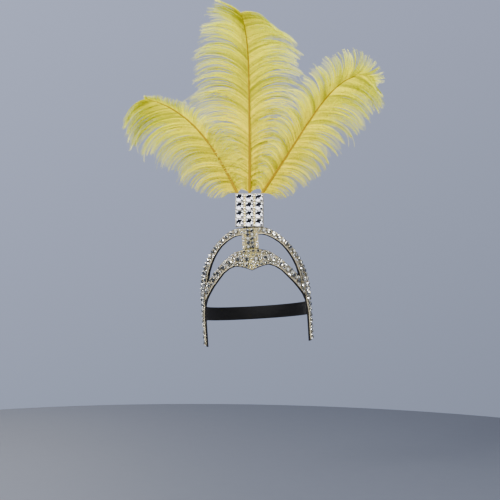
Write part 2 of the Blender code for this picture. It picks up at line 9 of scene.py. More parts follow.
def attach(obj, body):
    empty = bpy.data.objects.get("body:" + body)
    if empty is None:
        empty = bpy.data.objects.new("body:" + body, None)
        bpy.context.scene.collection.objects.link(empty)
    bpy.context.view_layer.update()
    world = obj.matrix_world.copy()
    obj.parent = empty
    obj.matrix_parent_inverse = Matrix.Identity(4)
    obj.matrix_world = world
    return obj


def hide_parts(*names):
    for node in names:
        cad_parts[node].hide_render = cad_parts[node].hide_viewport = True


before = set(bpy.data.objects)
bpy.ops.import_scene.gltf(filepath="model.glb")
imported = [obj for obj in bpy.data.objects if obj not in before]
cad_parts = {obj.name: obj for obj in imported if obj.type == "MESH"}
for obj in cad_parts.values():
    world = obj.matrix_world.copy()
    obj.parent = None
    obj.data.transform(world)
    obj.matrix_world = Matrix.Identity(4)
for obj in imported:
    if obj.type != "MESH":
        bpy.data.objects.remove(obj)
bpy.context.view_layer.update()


# Node graphs, for finishes and for geometry

class Wire:  # one output socket, with the sums that a finish is written in
    def __init__(self, graph, socket):
        self.graph = graph
        self.socket = socket

    def sum(self, operation, *values):
        return self.graph.node("ShaderNodeMath", {"operation": operation}, dict(enumerate(values)))

    def __add__(self, other):
        return self.sum("ADD", self, other)

    def __radd__(self, other):
        return self.sum("ADD", other, self)

    def __sub__(self, other):
        return self.sum("SUBTRACT", self, other)

    def __rsub__(self, other):
        return self.sum("SUBTRACT", other, self)

    def __mul__(self, other):
        return self.sum("MULTIPLY", self, other)

    def __rmul__(self, other):
        return self.sum("MULTIPLY", other, self)

    def __pow__(self, other):
        return self.sum("POWER", self, other)

    def sine(self):
        return self.sum("SINE", self)

    def size(self):
        return self.sum("ABSOLUTE", self)

    def part(self):
        return self.sum("FRACT", self)

    def clipped(self):
        return self.graph.node("ShaderNodeClamp", {}, {0: self})


class Graph:  # a node tree and the one way to add a node to it
    def __init__(self, tree):
        self.tree = tree

    def node(self, kind, settings=None, sockets=None, out=0):
        made = self.tree.nodes.new(kind)
        for setting, value in (settings or {}).items():
            if setting == "stops":
                ramp = made.color_ramp.elements
                while len(ramp) < len(value):
                    ramp.new(0.5)
                for element, (position, colour) in zip(ramp, value):
                    element.position = position
                    element.color = (*colour, 1)
            else:
                setattr(made, setting, value)
        for name, value in (sockets or {}).items():
            if isinstance(value, Wire):
                self.tree.links.new(value.socket, made.inputs[name])
            else:
                made.inputs[name].default_value = value
        return Wire(self, made.outputs[out])

    def both(self, kind, settings, sockets, *outs):  # several outputs of one node
        first = self.node(kind, settings, sockets)
        return [Wire(self, first.socket.node.outputs[out]) for out in outs]

    def mix(self, factor, first, second, blend="MIX"):
        first, second = [(*colour, 1) if isinstance(colour, tuple) else colour for colour in (first, second)]
        settings = {"data_type": "RGBA", "blend_type": blend}
        return self.node("ShaderNodeMix", settings, {0: factor, 6: first, 7: second}, 2)

    def ramp(self, factor, stops, easing="LINEAR"):
        made = self.node("ShaderNodeValToRGB", {"stops": stops}, {0: factor})
        made.socket.node.color_ramp.interpolation = easing
        return made


class Finish(Graph):  # a material on a Principled shader
    def __init__(self, name, **fixed):
        self.material = bpy.data.materials.new(name)
        self.material.use_nodes = True
        super().__init__(self.material.node_tree)
        self.shader = self.tree.nodes["Principled BSDF"]
        for socket, value in fixed.items():
            self.shader.inputs[socket.replace("_", " ")].default_value = value

    def feed(self, socket, wire):
        self.tree.links.new(wire.socket, self.shader.inputs[socket])

    def noise(self, scale, detail, vector=None):
        place = {"Vector": vector} if vector else {}
        return self.node("ShaderNodeTexNoise", {}, {"Scale": scale, "Detail": detail, **place})

    def place(self):
        return self.node("ShaderNodeTexCoord", {}, {}, "Object")

    def flat(self):  # both ways over a sheet, from its flat pattern
        pattern = self.node("ShaderNodeUVMap", {"uv_map": "flat"})
        return self.both("ShaderNodeSeparateXYZ", {}, {0: pattern}, 0, 1)

    def attribute(self, name):
        return self.node("ShaderNodeAttribute", {"attribute_name": name}, {}, "Fac")

    def bump(self, height, depth):
        sockets = {"Height": height, "Distance": depth, "Strength": 1.0}
        self.feed("Normal", self.node("ShaderNodeBump", {}, sockets))


class Growth(Graph):  # a geometry tree with named inputs
    def __init__(self, name, inputs):
        super().__init__(bpy.data.node_groups.new(name, "GeometryNodeTree"))
        face = self.tree.interface
        face.new_socket("Geometry", in_out="OUTPUT", socket_type="NodeSocketGeometry")
        face.new_socket("Geometry", in_out="INPUT", socket_type="NodeSocketGeometry")
        for title, kind in {**inputs, "Material": "Material"}.items():
            face.new_socket(title, in_out="INPUT", socket_type="NodeSocket" + kind)
        self.given = self.tree.nodes.new("NodeGroupInput")

    def input(self, title):
        return Wire(self, self.given.outputs[title])

    def named(self, title, kind="FLOAT"):
        return self.node("GeometryNodeInputNamedAttribute", {"data_type": kind}, {"Name": title})

    def chance(self, low, high, seed):
        sockets = {2: low, 3: high, "Seed": seed}
        return self.node("FunctionNodeRandomValue", {"data_type": "FLOAT"}, sockets, 1)

    def stand(self, facing, side, axis="X"):  # a rotation with its Z one way and another axis to the side
        axes = {"primary_axis": "Z", "secondary_axis": axis}
        return self.node("FunctionNodeAxesToRotation", axes, {0: facing, 1: side})

    def turn(self, stand, axis, angle):  # a rotation turned about one of its own axes
        angles = self.node("ShaderNodeCombineXYZ", {}, {axis: angle})
        spin = self.node("FunctionNodeEulerToRotation", {}, {0: angles})
        return self.node("FunctionNodeRotateRotation", {"rotation_space": "LOCAL"}, {0: stand, 1: spin})

    def spaced(self, routes):  # points at even steps along curves
        sockets = {0: routes, "Length": self.input("Spacing")}
        return self.node("GeometryNodeResampleCurve", {"mode": "LENGTH"}, sockets)

    def copies(self, shape, points, stand, **sockets):  # the shape given at that input, at each point
        info = self.node("GeometryNodeObjectInfo", {}, {"Object": self.input(shape)}, "Geometry")
        sockets = {"Points": points, "Instance": info, "Rotation": stand, **sockets}
        return self.node("GeometryNodeInstanceOnPoints", {}, sockets)

    def end(self, geometry):  # realised, with its material
        real = self.node("GeometryNodeRealizeInstances", {}, {0: geometry})
        done = self.node("GeometryNodeSetMaterial", {}, {0: real, "Material": self.input("Material")})
        self.tree.links.new(done.socket, self.tree.nodes.new("NodeGroupOutput").inputs[0])
        return self

    def grow(self, name, base, finish, **values):  # the result on base as a plain mesh of its own
        values["Material"] = finish.material
        change = base.modifiers.new(name, "NODES")
        change.node_group = self.tree
        for socket in self.tree.interface.items_tree:
            if socket.in_out == "INPUT" and socket.name in values:
                change[socket.identifier] = values[socket.name]
        made = settledMesh(base)
        made.name = name
        base.modifiers.remove(change)
        bpy.data.objects.remove(base)
        return placed(name, made)


# Meshes

helpers = []


def placed(name, data):  # an object in the scene for a mesh, lamp or camera
    piece = bpy.data.objects.new(name, data)
    bpy.context.scene.collection.objects.link(piece)
    return piece


def settledMesh(piece):  # what a piece's modifiers or curve make
    bpy.context.view_layer.update()
    return bpy.data.meshes.new_from_object(piece.evaluated_get(bpy.context.evaluated_depsgraph_get()))


def newObject(name, points, edges=(), faces=()):
    mesh = bpy.data.meshes.new(name)
    mesh.from_pydata([tuple(p) for p in points], edges, faces)
    return placed(name, mesh)


def closedShape(name, points, faces):
    piece = newObject(name, points, (), faces)
    made = bmesh.new()
    made.from_mesh(piece.data)
    bmesh.ops.recalc_face_normals(made, faces=made.faces)
    made.to_mesh(piece.data)
    made.free()
    return piece


def ringFaces(rings, count):  # quads between rings of count points
    return [
        (row + i, row + (i + 1) % count, row + count + (i + 1) % count, row + count + i)
        for row in range(0, (rings - 1) * count, count) for i in range(count)
    ]


def closedTube(name, points, count, finish=None):  # rings of count points, joined and capped
    caps = [tuple(range(count)), tuple(range(len(points) - count, len(points)))]
    piece = closedShape(name, points, ringFaces(len(points) // count, count) + caps)
    if finish:
        piece.data.materials.append(finish.material)
    return piece


def withAttributes(piece, **columns):  # floats or vectors, one a point
    for title, column in columns.items():
        column = np.asarray(column, np.float32)
        kind, field = ("FLOAT_VECTOR", "vector") if column.ndim == 2 else ("FLOAT", "value")
        attribute = piece.data.attributes.new(title, kind, "POINT")
        attribute.data.foreach_set(field, column.ravel())
    return piece


def facetNumbers(piece, table=0.0):  # a number for each facet, which its tint is drawn from; the table has one
    count = len(piece.data.polygons)
    numbers = (np.arange(count) * 0.61803 + 0.13) % 1
    for facet in piece.data.polygons:
        if facet.center.z > 0.85 and math.hypot(facet.center.x, facet.center.y) < table:
            numbers[facet.index] = 0.05
    piece.data.attributes.new("facet", "FLOAT", "FACE").data.foreach_set("value", numbers.astype(np.float32))
    return piece


def helper(piece):  # a shape that a tree copies, and that doesn't show itself
    piece.hide_render = True
    helpers.append(piece)
    return piece


def kept(piece, slot, *nodes):  # a finished piece of the headdress
    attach(piece, "root")
    if nodes:
        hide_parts(*nodes)
    return piece


def smoothCurve(points, spacing):
    points = np.array(points, float)
    ends = np.vstack([2 * points[0] - points[1], points, 2 * points[-1] - points[-2]])
    line = []
    for before, start, stop, after in zip(ends, ends[1:], ends[2:], ends[3:]):
        t = np.arange(max(1, round(np.linalg.norm(stop - start) / spacing)))[:, None]
        t = t / len(t)
        line.append(
            0.5 * (2 * start + (stop - before) * t + (2 * before - 5 * start + 4 * stop - after) * t**2
                   + (3 * start - before - 3 * stop + after) * t**3)
        )
    return np.vstack([*line, points[-1]])


def lineLength(line):
    return np.r_[0, np.cumsum(np.linalg.norm(np.diff(line, axis=0), axis=1))]


def alongLine(line, places):
    length = lineLength(line)
    return np.column_stack([np.interp(places, length, column) for column in line.T])


def finely(line, step=0.001):  # points at even steps along a line
    return alongLine(line, np.arange(0, lineLength(line)[-1], step))


def offsetLine(line, distance):  # to its left
    ways = np.gradient(line, axis=0)
    lefts = np.column_stack([-ways[:, 1], ways[:, 0]])
    return line + distance * lefts / np.linalg.norm(lefts, axis=1)[:, None]


def fromSide(line, around):
    start = np.interp(around, line[:, 0], line[:, 1])
    return np.vstack([(around, start), line[line[:, 0] > around + crown["gap"]]])


# The crown's shape: the same sizes as its solids

crown = {
    "halfWidth": 0.094,
    "frontDepth": 0.100,
    "planPower": 2.3,
    "feltThick": 0.0025,
    "sideReach": 0.141,
    "tailWidth": 0.020,
    "browHeight": 0.072,
    "archRise": 0.073,
    "tailDrop": 0.130,
    "archWidth": 0.013,
    "bandWidth": 0.0245,
    "postWidth": 0.027,
    "gap": 0.0003,
    "netThick": 0.0010,
    "netMargin": 0.0017,
    "step": 0.0040,
    "tailTop": -0.580,
    "archRows": (  # around, up, deep, as shares
        (0.000, 1.000, 1.00),
        (0.145, 1.000, 1.00),
        (0.205, 0.972, 1.02),
        (0.280, 0.904, 1.06),
        (0.365, 0.800, 1.12),
        (0.460, 0.650, 1.30),
        (0.550, 0.485, 1.60),
        (0.610, 0.370, 1.95),
        (0.665, 0.256, 2.60),
        (0.740, 0.100, 0.00),
        (0.830, -0.062, 0.00),
        (0.905, -0.160, 0.00),
        (0.965, -0.275, 0.00),
        (1.000, -0.430, 0.00),
        (1.000, -1.000, 0.00),
    ),
    "bandRows": (  # around, up, tall, as shares
        (0.000, 0.000, 1.50),
        (0.082, 0.064, 1.30),
        (0.143, 0.097, 1.12),
        (0.205, 0.112, 0.99),
        (0.280, 0.066, 0.86),
        (0.365, -0.022, 0.83),
        (0.460, -0.118, 0.87),
        (0.550, -0.200, 0.89),
        (0.610, -0.258, 0.90),
        (0.665, -0.306, 0.92),
        (0.730, -0.362, 0.00),
        (0.800, -0.440, 0.00),
    ),
}


def height(share):
    return share * (crown["archRise"] if share > 0 else crown["tailDrop"])


planTurn = np.linspace(0, math.pi / 2, 721)
planX = crown["halfWidth"] * np.sin(planTurn) ** (2 / crown["planPower"])
planY = -crown["frontDepth"] * np.cos(planTurn) ** (2 / crown["planPower"])
planAlong = np.r_[0, np.cumsum(np.hypot(np.diff(planX), np.diff(planY)))]
planFaceX = (planX / crown["halfWidth"]) ** (crown["planPower"] - 1) / crown["halfWidth"]
planFaceY = -((-planY / crown["frontDepth"]) ** (crown["planPower"] - 1)) / crown["frontDepth"]
planFace = np.hypot(planFaceX, planFaceY)


def facingOf(around):  # the way the felt faces this far round the crown
    x = np.interp(np.abs(around), planAlong, planFaceX / planFace) * np.where(np.asarray(around) < 0, -1, 1)
    y = np.interp(np.abs(around), planAlong, planFaceY / planFace)
    return np.stack([x, y, 0 * x], axis=-1)


def onCrown(around, up, outwards=0.0):  # a place on the crown, from its flat pattern
    x = np.interp(np.abs(around), planAlong, planX) * np.where(np.asarray(around) < 0, -1, 1)
    y = np.interp(np.abs(around), planAlong, planY)
    flat = np.stack([x, y, np.asarray(up) + crown["browHeight"]], axis=-1)
    return flat + facingOf(around) * np.asarray(outwards)[..., None]


def crownLines():
    step, reach = crown["step"], crown["sideReach"]
    arch, band = crown["archRows"], crown["bandRows"]
    outer = [(row[0] * reach, height(row[1])) for row in arch]
    brow = [(row[0] * reach, height(row[1])) for row in band]
    brow += [(reach - crown["tailWidth"], height(share)) for share in (crown["tailTop"], -1)]
    archLow = [(row[0] * reach, height(row[1]) - row[2] * crown["archWidth"]) for row in arch if row[2]]
    bandTop = [(row[0] * reach, height(row[1]) + row[2] * crown["bandWidth"]) for row in band if row[2]]
    archLow, bandTop = smoothCurve(archLow, step), smoothCurve(bandTop, step)
    steps = np.linspace(crown["postWidth"] / 2, min(archLow[-1, 0], bandTop[-1, 0]), 200)
    room = np.interp(steps, *archLow.T) - np.interp(steps, *bandTop.T)
    shut = room < crown["netMargin"]
    end = steps[np.argmax(shut)] if shut.any() else steps[-1]
    tip = (end, (np.interp(end, *archLow.T) + np.interp(end, *bandTop.T)) / 2)
    return {
        "outer": smoothCurve(outer, step),
        "brow": smoothCurve(brow, step),
        "archLow": np.vstack([archLow[archLow[:, 0] < end - step / 2], tip]),
        "bandTop": np.vstack([bandTop[bandTop[:, 0] < end - step / 2], tip]),
    }


lines = crownLines()
seamFoot = lines["brow"][np.argmax(lines["brow"][:, 1] < height(crown["tailTop"]))]
seam = smoothCurve([lines["archLow"][-1], seamFoot], crown["step"])[1:]
tailEdge = lines["brow"][lines["brow"][:, 1] < height(crown["tailTop"]) - crown["netMargin"]]
lines["archLow"] = np.vstack([lines["archLow"], seam, tailEdge])
lines["bandTop"] = np.vstack([lines["bandTop"], seam])
lines["browLow"] = lines["brow"][lines["brow"][:, 1] > height(crown["tailTop"])]
postSide = crown["postWidth"] / 2 + crown["gap"]
tailEnd = height(-1) + crown["netMargin"]


# Finishes

def feltFinish():
    felt = Finish("blackFelt", Roughness=0.95, Specular_IOR_Level=0.15, Sheen_Weight=0.05)
    fibres = felt.noise(2600, 4)
    cloud = felt.noise(220, 3)
    felt.feed("Base Color", felt.mix(fibres * cloud * 1.6, (0.002, 0.002, 0.003), (0.012, 0.012, 0.013)))
    felt.bump(fibres + cloud * 0.6, 0.0003)
    return felt


def netFinish():
    net = Finish("beigeNet", Roughness=0.75, Sheen_Weight=0.2)
    u, v = net.flat()
    pitch = 0.0011
    warp = ((u + v) * (math.pi / pitch)).sine().size()
    weft = ((u - v) * (math.pi / pitch)).sine().size()
    holes = ((warp * weft) * 1.7).clipped()
    threads = net.mix(net.noise(900, 3), (0.26, 0.23, 0.155), (0.44, 0.395, 0.285))
    # painted reflection of the yellow plumes: the threads turn yellow near the middle, close to x = 0
    middle = (1 - net.node("ShaderNodeSeparateXYZ", {}, {0: net.place()}).size() * 38).clipped()
    threads = net.mix(middle, threads, (0.80, 0.68, 0.16))
    net.feed("Base Color", net.mix(holes, threads, (0.12, 0.10, 0.07)))
    net.bump(1 - holes, 0.0003)
    return net


def threadFinish(name, dark, pale):
    thread = Finish(name, Roughness=0.6, Sheen_Weight=0.3)
    twist = thread.noise(3000, 2)
    thread.feed("Base Color", thread.mix(twist, dark, pale))
    thread.bump(twist, 0.0001)
    return thread


def stoneFinish(name, tints, roughness, spread, glow):  # each facet gets its own tint: the stone's colour, with painted reflections in dark and white facets, and the whitest facets glow as painted glints
    stone = Finish(name, Metallic=1.0, Coat_Weight=0.35, Coat_Roughness=0.02, Emission_Strength=glow)
    draw = (stone.attribute("facet") + stone.attribute("gem") * spread).part()
    # painted reflections: a fixed dark, grey or white tint on each facet
    tint = stone.ramp(draw, tints, "CONSTANT")
    cloudy = stone.noise(700, 1, stone.place())
    tint = stone.mix(cloudy * 0.15, tint, (0.75, 0.76, 0.72))
    shade = (stone.attribute("gem") * 7.1).part() ** 2 * 0.4
    stone.feed("Base Color", stone.mix(shade, tint, (0.02, 0.02, 0.025)))
    stone.feed("Roughness", roughness + cloudy * 0.06)
    # painted glints: the whitest tints glow as emission, whatever the lamps
    paintedGlints = [(stop, tuple(max(0, value - 0.78) * 3.5 for value in colour)) for stop, colour in tints]
    stone.feed("Emission Color", stone.ramp(draw, paintedGlints, "CONSTANT"))
    return stone


def metalFinish(name, dark, pale, roughness):
    metal = Finish(name, Metallic=1.0)
    worn = metal.noise(500, 3, metal.place())
    metal.feed("Base Color", metal.mix(worn, dark, pale))
    metal.feed("Roughness", roughness + worn * 0.15)
    metal.bump(worn, 0.00005)
    return metal


def beadFinish():
    bead = Finish("seedBead", Roughness=0.15, Coat_Weight=0.6)
    tone = bead.attribute("gem")
    tones = [
        (0, (0.56, 0.47, 0.27)), (0.35, (0.42, 0.40, 0.31)), (0.6, (0.66, 0.62, 0.50)), (0.85, (0.55, 0.43, 0.13))
    ]
    bead.feed("Base Color", bead.ramp(tone, tones, "CONSTANT"))
    bead.feed("Metallic", (tone * 5).part() * 0.6)
    return bead


def elasticFinish():
    elastic = Finish("blackElastic", Roughness=0.8, Specular_IOR_Level=0.15)
    u, v = elastic.flat()
    rungPitch, strandPitch = 0.0011, 0.0012
    rungs = (u * (math.pi / rungPitch)).sine().size()
    strands = (v * (math.pi / strandPitch)).sine().size()
    weave = rungs * 0.5 + strands * 0.5
    elastic.feed("Base Color", elastic.mix(weave, (0.001, 0.001, 0.002), (0.009, 0.009, 0.010)))
    elastic.bump(weave, 0.0002)
    return elastic


def plumeFinish():
    plume = Finish("yellowPlume", Roughness=0.8, Specular_IOR_Level=0.02)
    along, station, tone = plume.attribute("along"), plume.attribute("station"), plume.attribute("tone")
    root = (1 - along * 1.25).clipped()
    low = (1 - station * 1.4).clipped()
    deep = (root * 0.6 + low * 0.55 + (tone - 0.5) * 0.25).clipped()
    pale = plume.mix(tone, (0.33, 0.36, 0.0), (0.97, 1.0, 0.0))
    full = plume.mix(tone, (0.40, 0.36, 0.0), (0.96, 0.85, 0.0))
    tip = (along * 3 - 2).clipped() * (station * 1.6).clipped() * tone * 0.65
    plume.feed("Base Color", plume.mix(tip, plume.mix(deep, pale, full), (1.0, 1.0, 0.55)))
    glow = plume.mix(deep, (0.96, 0.98, 0.0), (0.86, 0.72, 0.0))
    light = plume.node("ShaderNodeBsdfTranslucent", {}, {"Color": glow})
    both = plume.node("ShaderNodeMixShader", {}, {0: 0.35, 1: Wire(plume, plume.shader.outputs[0]), 2: light})
    plume.tree.links.new(both.socket, plume.tree.nodes["Material Output"].inputs["Surface"])
    return plume


def quillFinish():
    quill = Finish("goldenQuill", Roughness=0.6, Specular_IOR_Level=0.06)
    across, along = quill.attribute("across"), quill.attribute("along")
    streaks = quill.noise(60, 3, quill.place())
    amber = quill.mix(along, (0.16, 0.088, 0.0), (0.16, 0.105, 0.0))
    quill.feed("Base Color", quill.mix((across * 0.8 + streaks * 0.3).clipped(), amber, (0.30, 0.205, 0.0)))
    quill.bump(streaks, 0.0001)
    return quill


felt = feltFinish()
net = netFinish()
tanThread = threadFinish("tanThread", (0.33, 0.29, 0.18), (0.52, 0.465, 0.32))
blackThread = threadFinish("blackThread", (0.015, 0.015, 0.017), (0.07, 0.07, 0.075))
# each table holds the stones' colours with painted reflections; the last number is the glow of their painted glints
smoky = stoneFinish(
    "smokyStone",
    [(0.0, (0.12, 0.125, 0.11)), (0.16, (0.17, 0.18, 0.15)), (0.38, (0.36, 0.36, 0.31)), (0.54, (0.20, 0.20, 0.26)),
     (0.68, (0.50, 0.50, 0.46)), (0.85, (0.96, 0.96, 0.94))],
    0.06, 3.7, 1.2,
)
clear = stoneFinish(
    "clearStone",
    [(0.0, (0.90, 0.91, 0.93)), (0.28, (0.35, 0.37, 0.40)), (0.46, (0.97, 0.97, 0.98)), (0.62, (0.02, 0.02, 0.04)),
     (0.84, (0.60, 0.59, 0.48))],
    0.04, 3.7, 2.0,
)
crystal = stoneFinish(
    "whiteCrystal",
    [(0.0, (0.96, 0.97, 1.0)), (0.22, (0.40, 0.42, 0.50)), (0.36, (0.92, 0.92, 0.95)), (0.50, (1.0, 1.0, 1.0)),
     (0.66, (0.004, 0.005, 0.02)), (0.88, (0.03, 0.04, 0.10)), (0.96, (0.95, 0.95, 0.97))],
    0.03, 0.12, 5.0,
)
accent = stoneFinish(
    "accentStone",
    [(0.0, (0.80, 0.72, 0.40)), (0.3, (0.97, 0.95, 0.86)), (0.55, (0.40, 0.34, 0.14)), (0.7, (0.98, 0.94, 0.80))],
    0.06, 3.7, 1.7,
)
cupMetal = metalFinish("cupMetal", (0.16, 0.15, 0.12), (0.42, 0.39, 0.30), 0.3)
silver = metalFinish("silverSetting", (0.24, 0.23, 0.21), (0.48, 0.47, 0.43), 0.4)
bead = beadFinish()
elastic = elasticFinish()
plumeYellow = plumeFinish()
quillGold = quillFinish()
print("finishes made")


# Geometry trees

def stoneTree():  # copies a stone to each point, with its own turn
    tree = Growth("setStones", {"Shape": "Object", "Spin": "Float", "Seed": "Int"})
    stand = tree.stand(tree.named("facing", "FLOAT_VECTOR"), tree.named("side", "FLOAT_VECTOR"))
    stand = tree.turn(stand, 2, tree.chance(-1.0, 1.0, tree.input("Seed")) * tree.input("Spin"))
    girth = tree.named("girth", "FLOAT_VECTOR")
    stones = tree.copies("Shape", tree.input("Geometry"), stand, Scale=girth)
    gem = tree.chance(0.0, 1.0, tree.input("Seed") + 5)
    return tree.end(tree.node(
        "GeometryNodeStoreNamedAttribute", {"data_type": "FLOAT", "domain": "INSTANCE"},
        {"Geometry": stones, "Name": "gem", "Value": gem},
    ))


def barbTree():  # a barb along each line, with barbules on both sides of it
    sizes = {title: "Float" for title in ("Spacing", "Length", "Width", "Angle", "Roll")}
    tree = Growth("growBarbs", {"Blade": "Object", **sizes, "Seed": "Int"})
    seed, along = tree.input("Seed"), tree.named("along")
    routes = tree.node("GeometryNodeMeshToCurve", {}, {0: tree.input("Geometry")})
    ring = tree.node("GeometryNodeCurvePrimitiveCircle", {}, {"Resolution": 3, "Radius": 1.0})
    shafts = tree.node(
        "GeometryNodeCurveToMesh", {},
        {0: routes, "Profile Curve": ring, "Fill Caps": True, "Scale": tree.named("girth")},
    )
    side = tree.node("ShaderNodeMath", {"operation": "MODULO"}, {0: tree.node("GeometryNodeInputIndex"), 1: 2.0})
    stand = tree.stand(tree.named("flat", "FLOAT_VECTOR"), tree.node("GeometryNodeInputTangent"), "Y")
    stand = tree.turn(stand, 1, tree.chance(-1.0, 1.0, seed) * tree.input("Roll"))
    stand = tree.turn(stand, 2, (1 - 2 * side) * tree.input("Angle") * tree.chance(0.6, 1.35, seed + 1))
    tall = tree.input("Length") * (1 - along * 0.75) * (along * 9 + 0.35).clipped()
    wide = tree.input("Width") * (1 - along * 0.72)
    scale = tree.node("ShaderNodeCombineXYZ", {}, {0: wide, 1: tall * tree.chance(0.6, 1.25, seed + 2), 2: 1.0})
    blades = tree.copies("Blade", tree.spaced(routes), stand, Scale=scale)
    join = tree.tree.nodes.new("GeometryNodeJoinGeometry")
    for part in (blades, shafts):
        tree.tree.links.new(part.socket, join.inputs[0])
    return tree.end(Wire(tree, join.outputs[0]))


def stitchTree():  # a stitch at even steps along each line
    tree = Growth("sewStitches", {"Shape": "Object", "Spacing": "Float"})
    routes = tree.node("GeometryNodeMeshToCurve", {}, {0: tree.input("Geometry")})
    stand = tree.stand(tree.named("facing", "FLOAT_VECTOR"), tree.node("GeometryNodeInputTangent"))
    return tree.end(tree.copies("Shape", tree.spaced(routes), stand))


setStones = stoneTree()
growBarbs = barbTree()
sewStitches = stitchTree()


# Stones, cups, beads and stitches, at unit size

def ringOf(count, radius, z, turn=0.0):
    angles = 2 * math.pi * (np.arange(count) + turn) / count
    return [(radius * math.cos(a), radius * math.sin(a), z) for a in angles]


def cutStone(name, table, middle, dip=0.0):  # a brilliant of width 1 and height 1, its foot in a cup
    points = ringOf(8, table, 1.0) + ringOf(8, middle[0], middle[1], 0.5) + ringOf(16, 0.5, 0.42)
    points += ringOf(16, 0.47, 0.08) + ringOf(8, table * 0.5, 1 - dip * 0.7, 0.5) + [(0, 0, 1 - dip), (0, 0, 0.08)]
    faces = []
    for i in range(8):
        j = (i + 1) % 8
        g = 16 + 2 * i
        over = 16 + (2 * i + 2) % 16
        before = 8 + (i - 1) % 8
        faces += [(i, 8 + i, j), (i, before, g), (i, g, 8 + i), (8 + i, g, g + 1), (8 + i, g + 1, over)]
        faces += [(i, j, 48 + i), (i, 48 + i, 48 + (i - 1) % 8), (48 + i, 56, 48 + (i - 1) % 8)]
    for i in range(16):
        j = (i + 1) % 16
        faces += [(16 + i, 32 + i, 32 + j, 16 + j), (32 + j, 32 + i, 57)]
    return closedShape(name, points, faces)


def cupShape(name, sides, claws, clawWidth, turn=0.5):  # a metal cup of width 1 with claws over the stone's edge
    points, faces = [], ringFaces(4, sides)
    for z, radius in ((0.0, 0.50), (0.50, 0.56), (0.52, 0.50), (0.30, 0.49)):
        points += ringOf(sides, radius, z)
    for claw in range(claws):
        angle = 2 * math.pi * (claw + turn) / claws
        c, s = math.cos(angle), math.sin(angle)
        start = len(points)
        for radius, z, share in ((0.56, 0.28, 1.0), (0.53, 0.62, 0.8), (0.43, 0.80, 0.5)):
            for side in (-1, 1):
                for lift in (0.0, 0.045):
                    out, across = radius + lift * 0.6, side * (clawWidth * share)
                    points.append((out * c - across * s, out * s + across * c, z + lift))
        for a in (start, start + 4):
            faces += [(a, a + 1, a + 5, a + 4), (a + 1, a + 3, a + 7, a + 5), (a + 3, a + 2, a + 6, a + 7),
                      (a + 2, a, a + 4, a + 6)]
        faces += [(start, start + 2, start + 3, start + 1), (start + 8, start + 9, start + 11, start + 10)]
    return closedShape(name, points, faces)


def stitchShape(name, length, width, rise):  # a short arched thread
    half = width / 2
    points = [
        (share * length / 2, half * math.cos(angle), rise * (1 - share**2) + half * math.sin(angle))
        for share in np.linspace(-1, 1, 5) for angle in (0, 2.1, 4.2)
    ]
    return closedTube(name, points, 3)


stoneShape = helper(facetNumbers(cutStone("stoneShape", 0.28, (0.41, 0.74), 0.06), 0.24))
smallShape = helper(facetNumbers(cutStone("smallShape", 0.24, (0.38, 0.80), 0.10), 0.20))
cup = helper(cupShape("cupShape", 16, 4, 0.06))
squareCup = helper(cupShape("squareCup", 4, 4, 0.05, 0.0))
stitch = helper(stitchShape("stitchShape", 0.0021, 0.00045, 0.0004))
blade = helper(newObject("bladeShape", [(-0.5, 0, 0), (0.5, 0, 0), (0.05, 1, 0)], (), [(0, 1, 2)]))
bpy.ops.mesh.primitive_ico_sphere_add(subdivisions=1, radius=0.5)
beadShape = helper(bpy.context.object)
beadShape.name = "beadShape"
beadShape.data.shade_smooth()


def stonePoints(name, places, outwards, tall):  # points for a tree, standing on the crown
    around, up, widths = np.array(places).T
    facing = facingOf(around)
    points = newObject(name, onCrown(around, up, outwards))
    girth = np.column_stack([widths, widths, np.full(len(widths), tall)])
    return withAttributes(points, facing=facing, side=np.cross(np.array([0, 0, 1.0]), facing), girth=girth)


# Net with its stones

trim = {
    "archStone": 0.0072,
    "archPitch": 0.0096,
    "bandStone": 0.0080,
    "bandPitch": 0.0154,
    "edgeStone": 0.0050,
    "postStone": 0.0064,
    "postPitch": 0.0069,
    "postCord": 0.0129,
    "stoneSpace": 0.0004,
    "rise": 0.0034,
    "binding": 0.0009,
    "bindingSeat": 0.2,
    "cordSides": 6,
    "edgeShare": 0.55,  # of its width, from a filling's middle to the net's edge
    "setSpin": (0.15, 3),  # how far the large stones turn, and their seed
    "looseSpin": (3.0, 8),
    "weld": 0.00002,
    "stripTries": (5000, 6000, 3000),  # how many of each filling are tried
    "postTries": (0, 90, 3000),
}
fillings = (  # name, width, space, seed, height, lift, shape, finish
    ("FillStones", 0.0042, 0.0004, 13, 0.0024, 0, smallShape, smoky),
    ("SmallStones", 0.0028, 0.0003, 11, 0.0019, 0, smallShape, clear),
    ("Beads", 0.0021, 0.0003, 12, 0.0021, 0.0021 * 0.35, beadShape, bead),
)


def stonesAlong(line, inset, pitch, width, start):
    row = offsetLine(line, inset)
    return [(*place, width) for place in alongLine(row, np.arange(start, lineLength(row)[-1] - width / 2, pitch))]


def withoutTouching(stones, space, others=()):
    taken = list(others)
    for around, up, width in stones:
        if all(math.hypot(around - a, up - u) > (width + w) / 2 + space for a, u, w in taken):
            taken.append((around, up, width))
    return taken[len(others):]


def insideOutline(outline, points):  # which points lie in a closed flat outline
    inside = np.zeros(len(points), bool)
    x, y = points.T
    for (x1, y1), (x2, y2) in zip(outline, np.roll(outline, -1, axis=0)):
        crosses = (y1 > y) != (y2 > y)
        inside ^= crosses & (x < (x2 - x1) * (y - y1) / (y2 - y1 + 1e-12) + x1)
    return inside


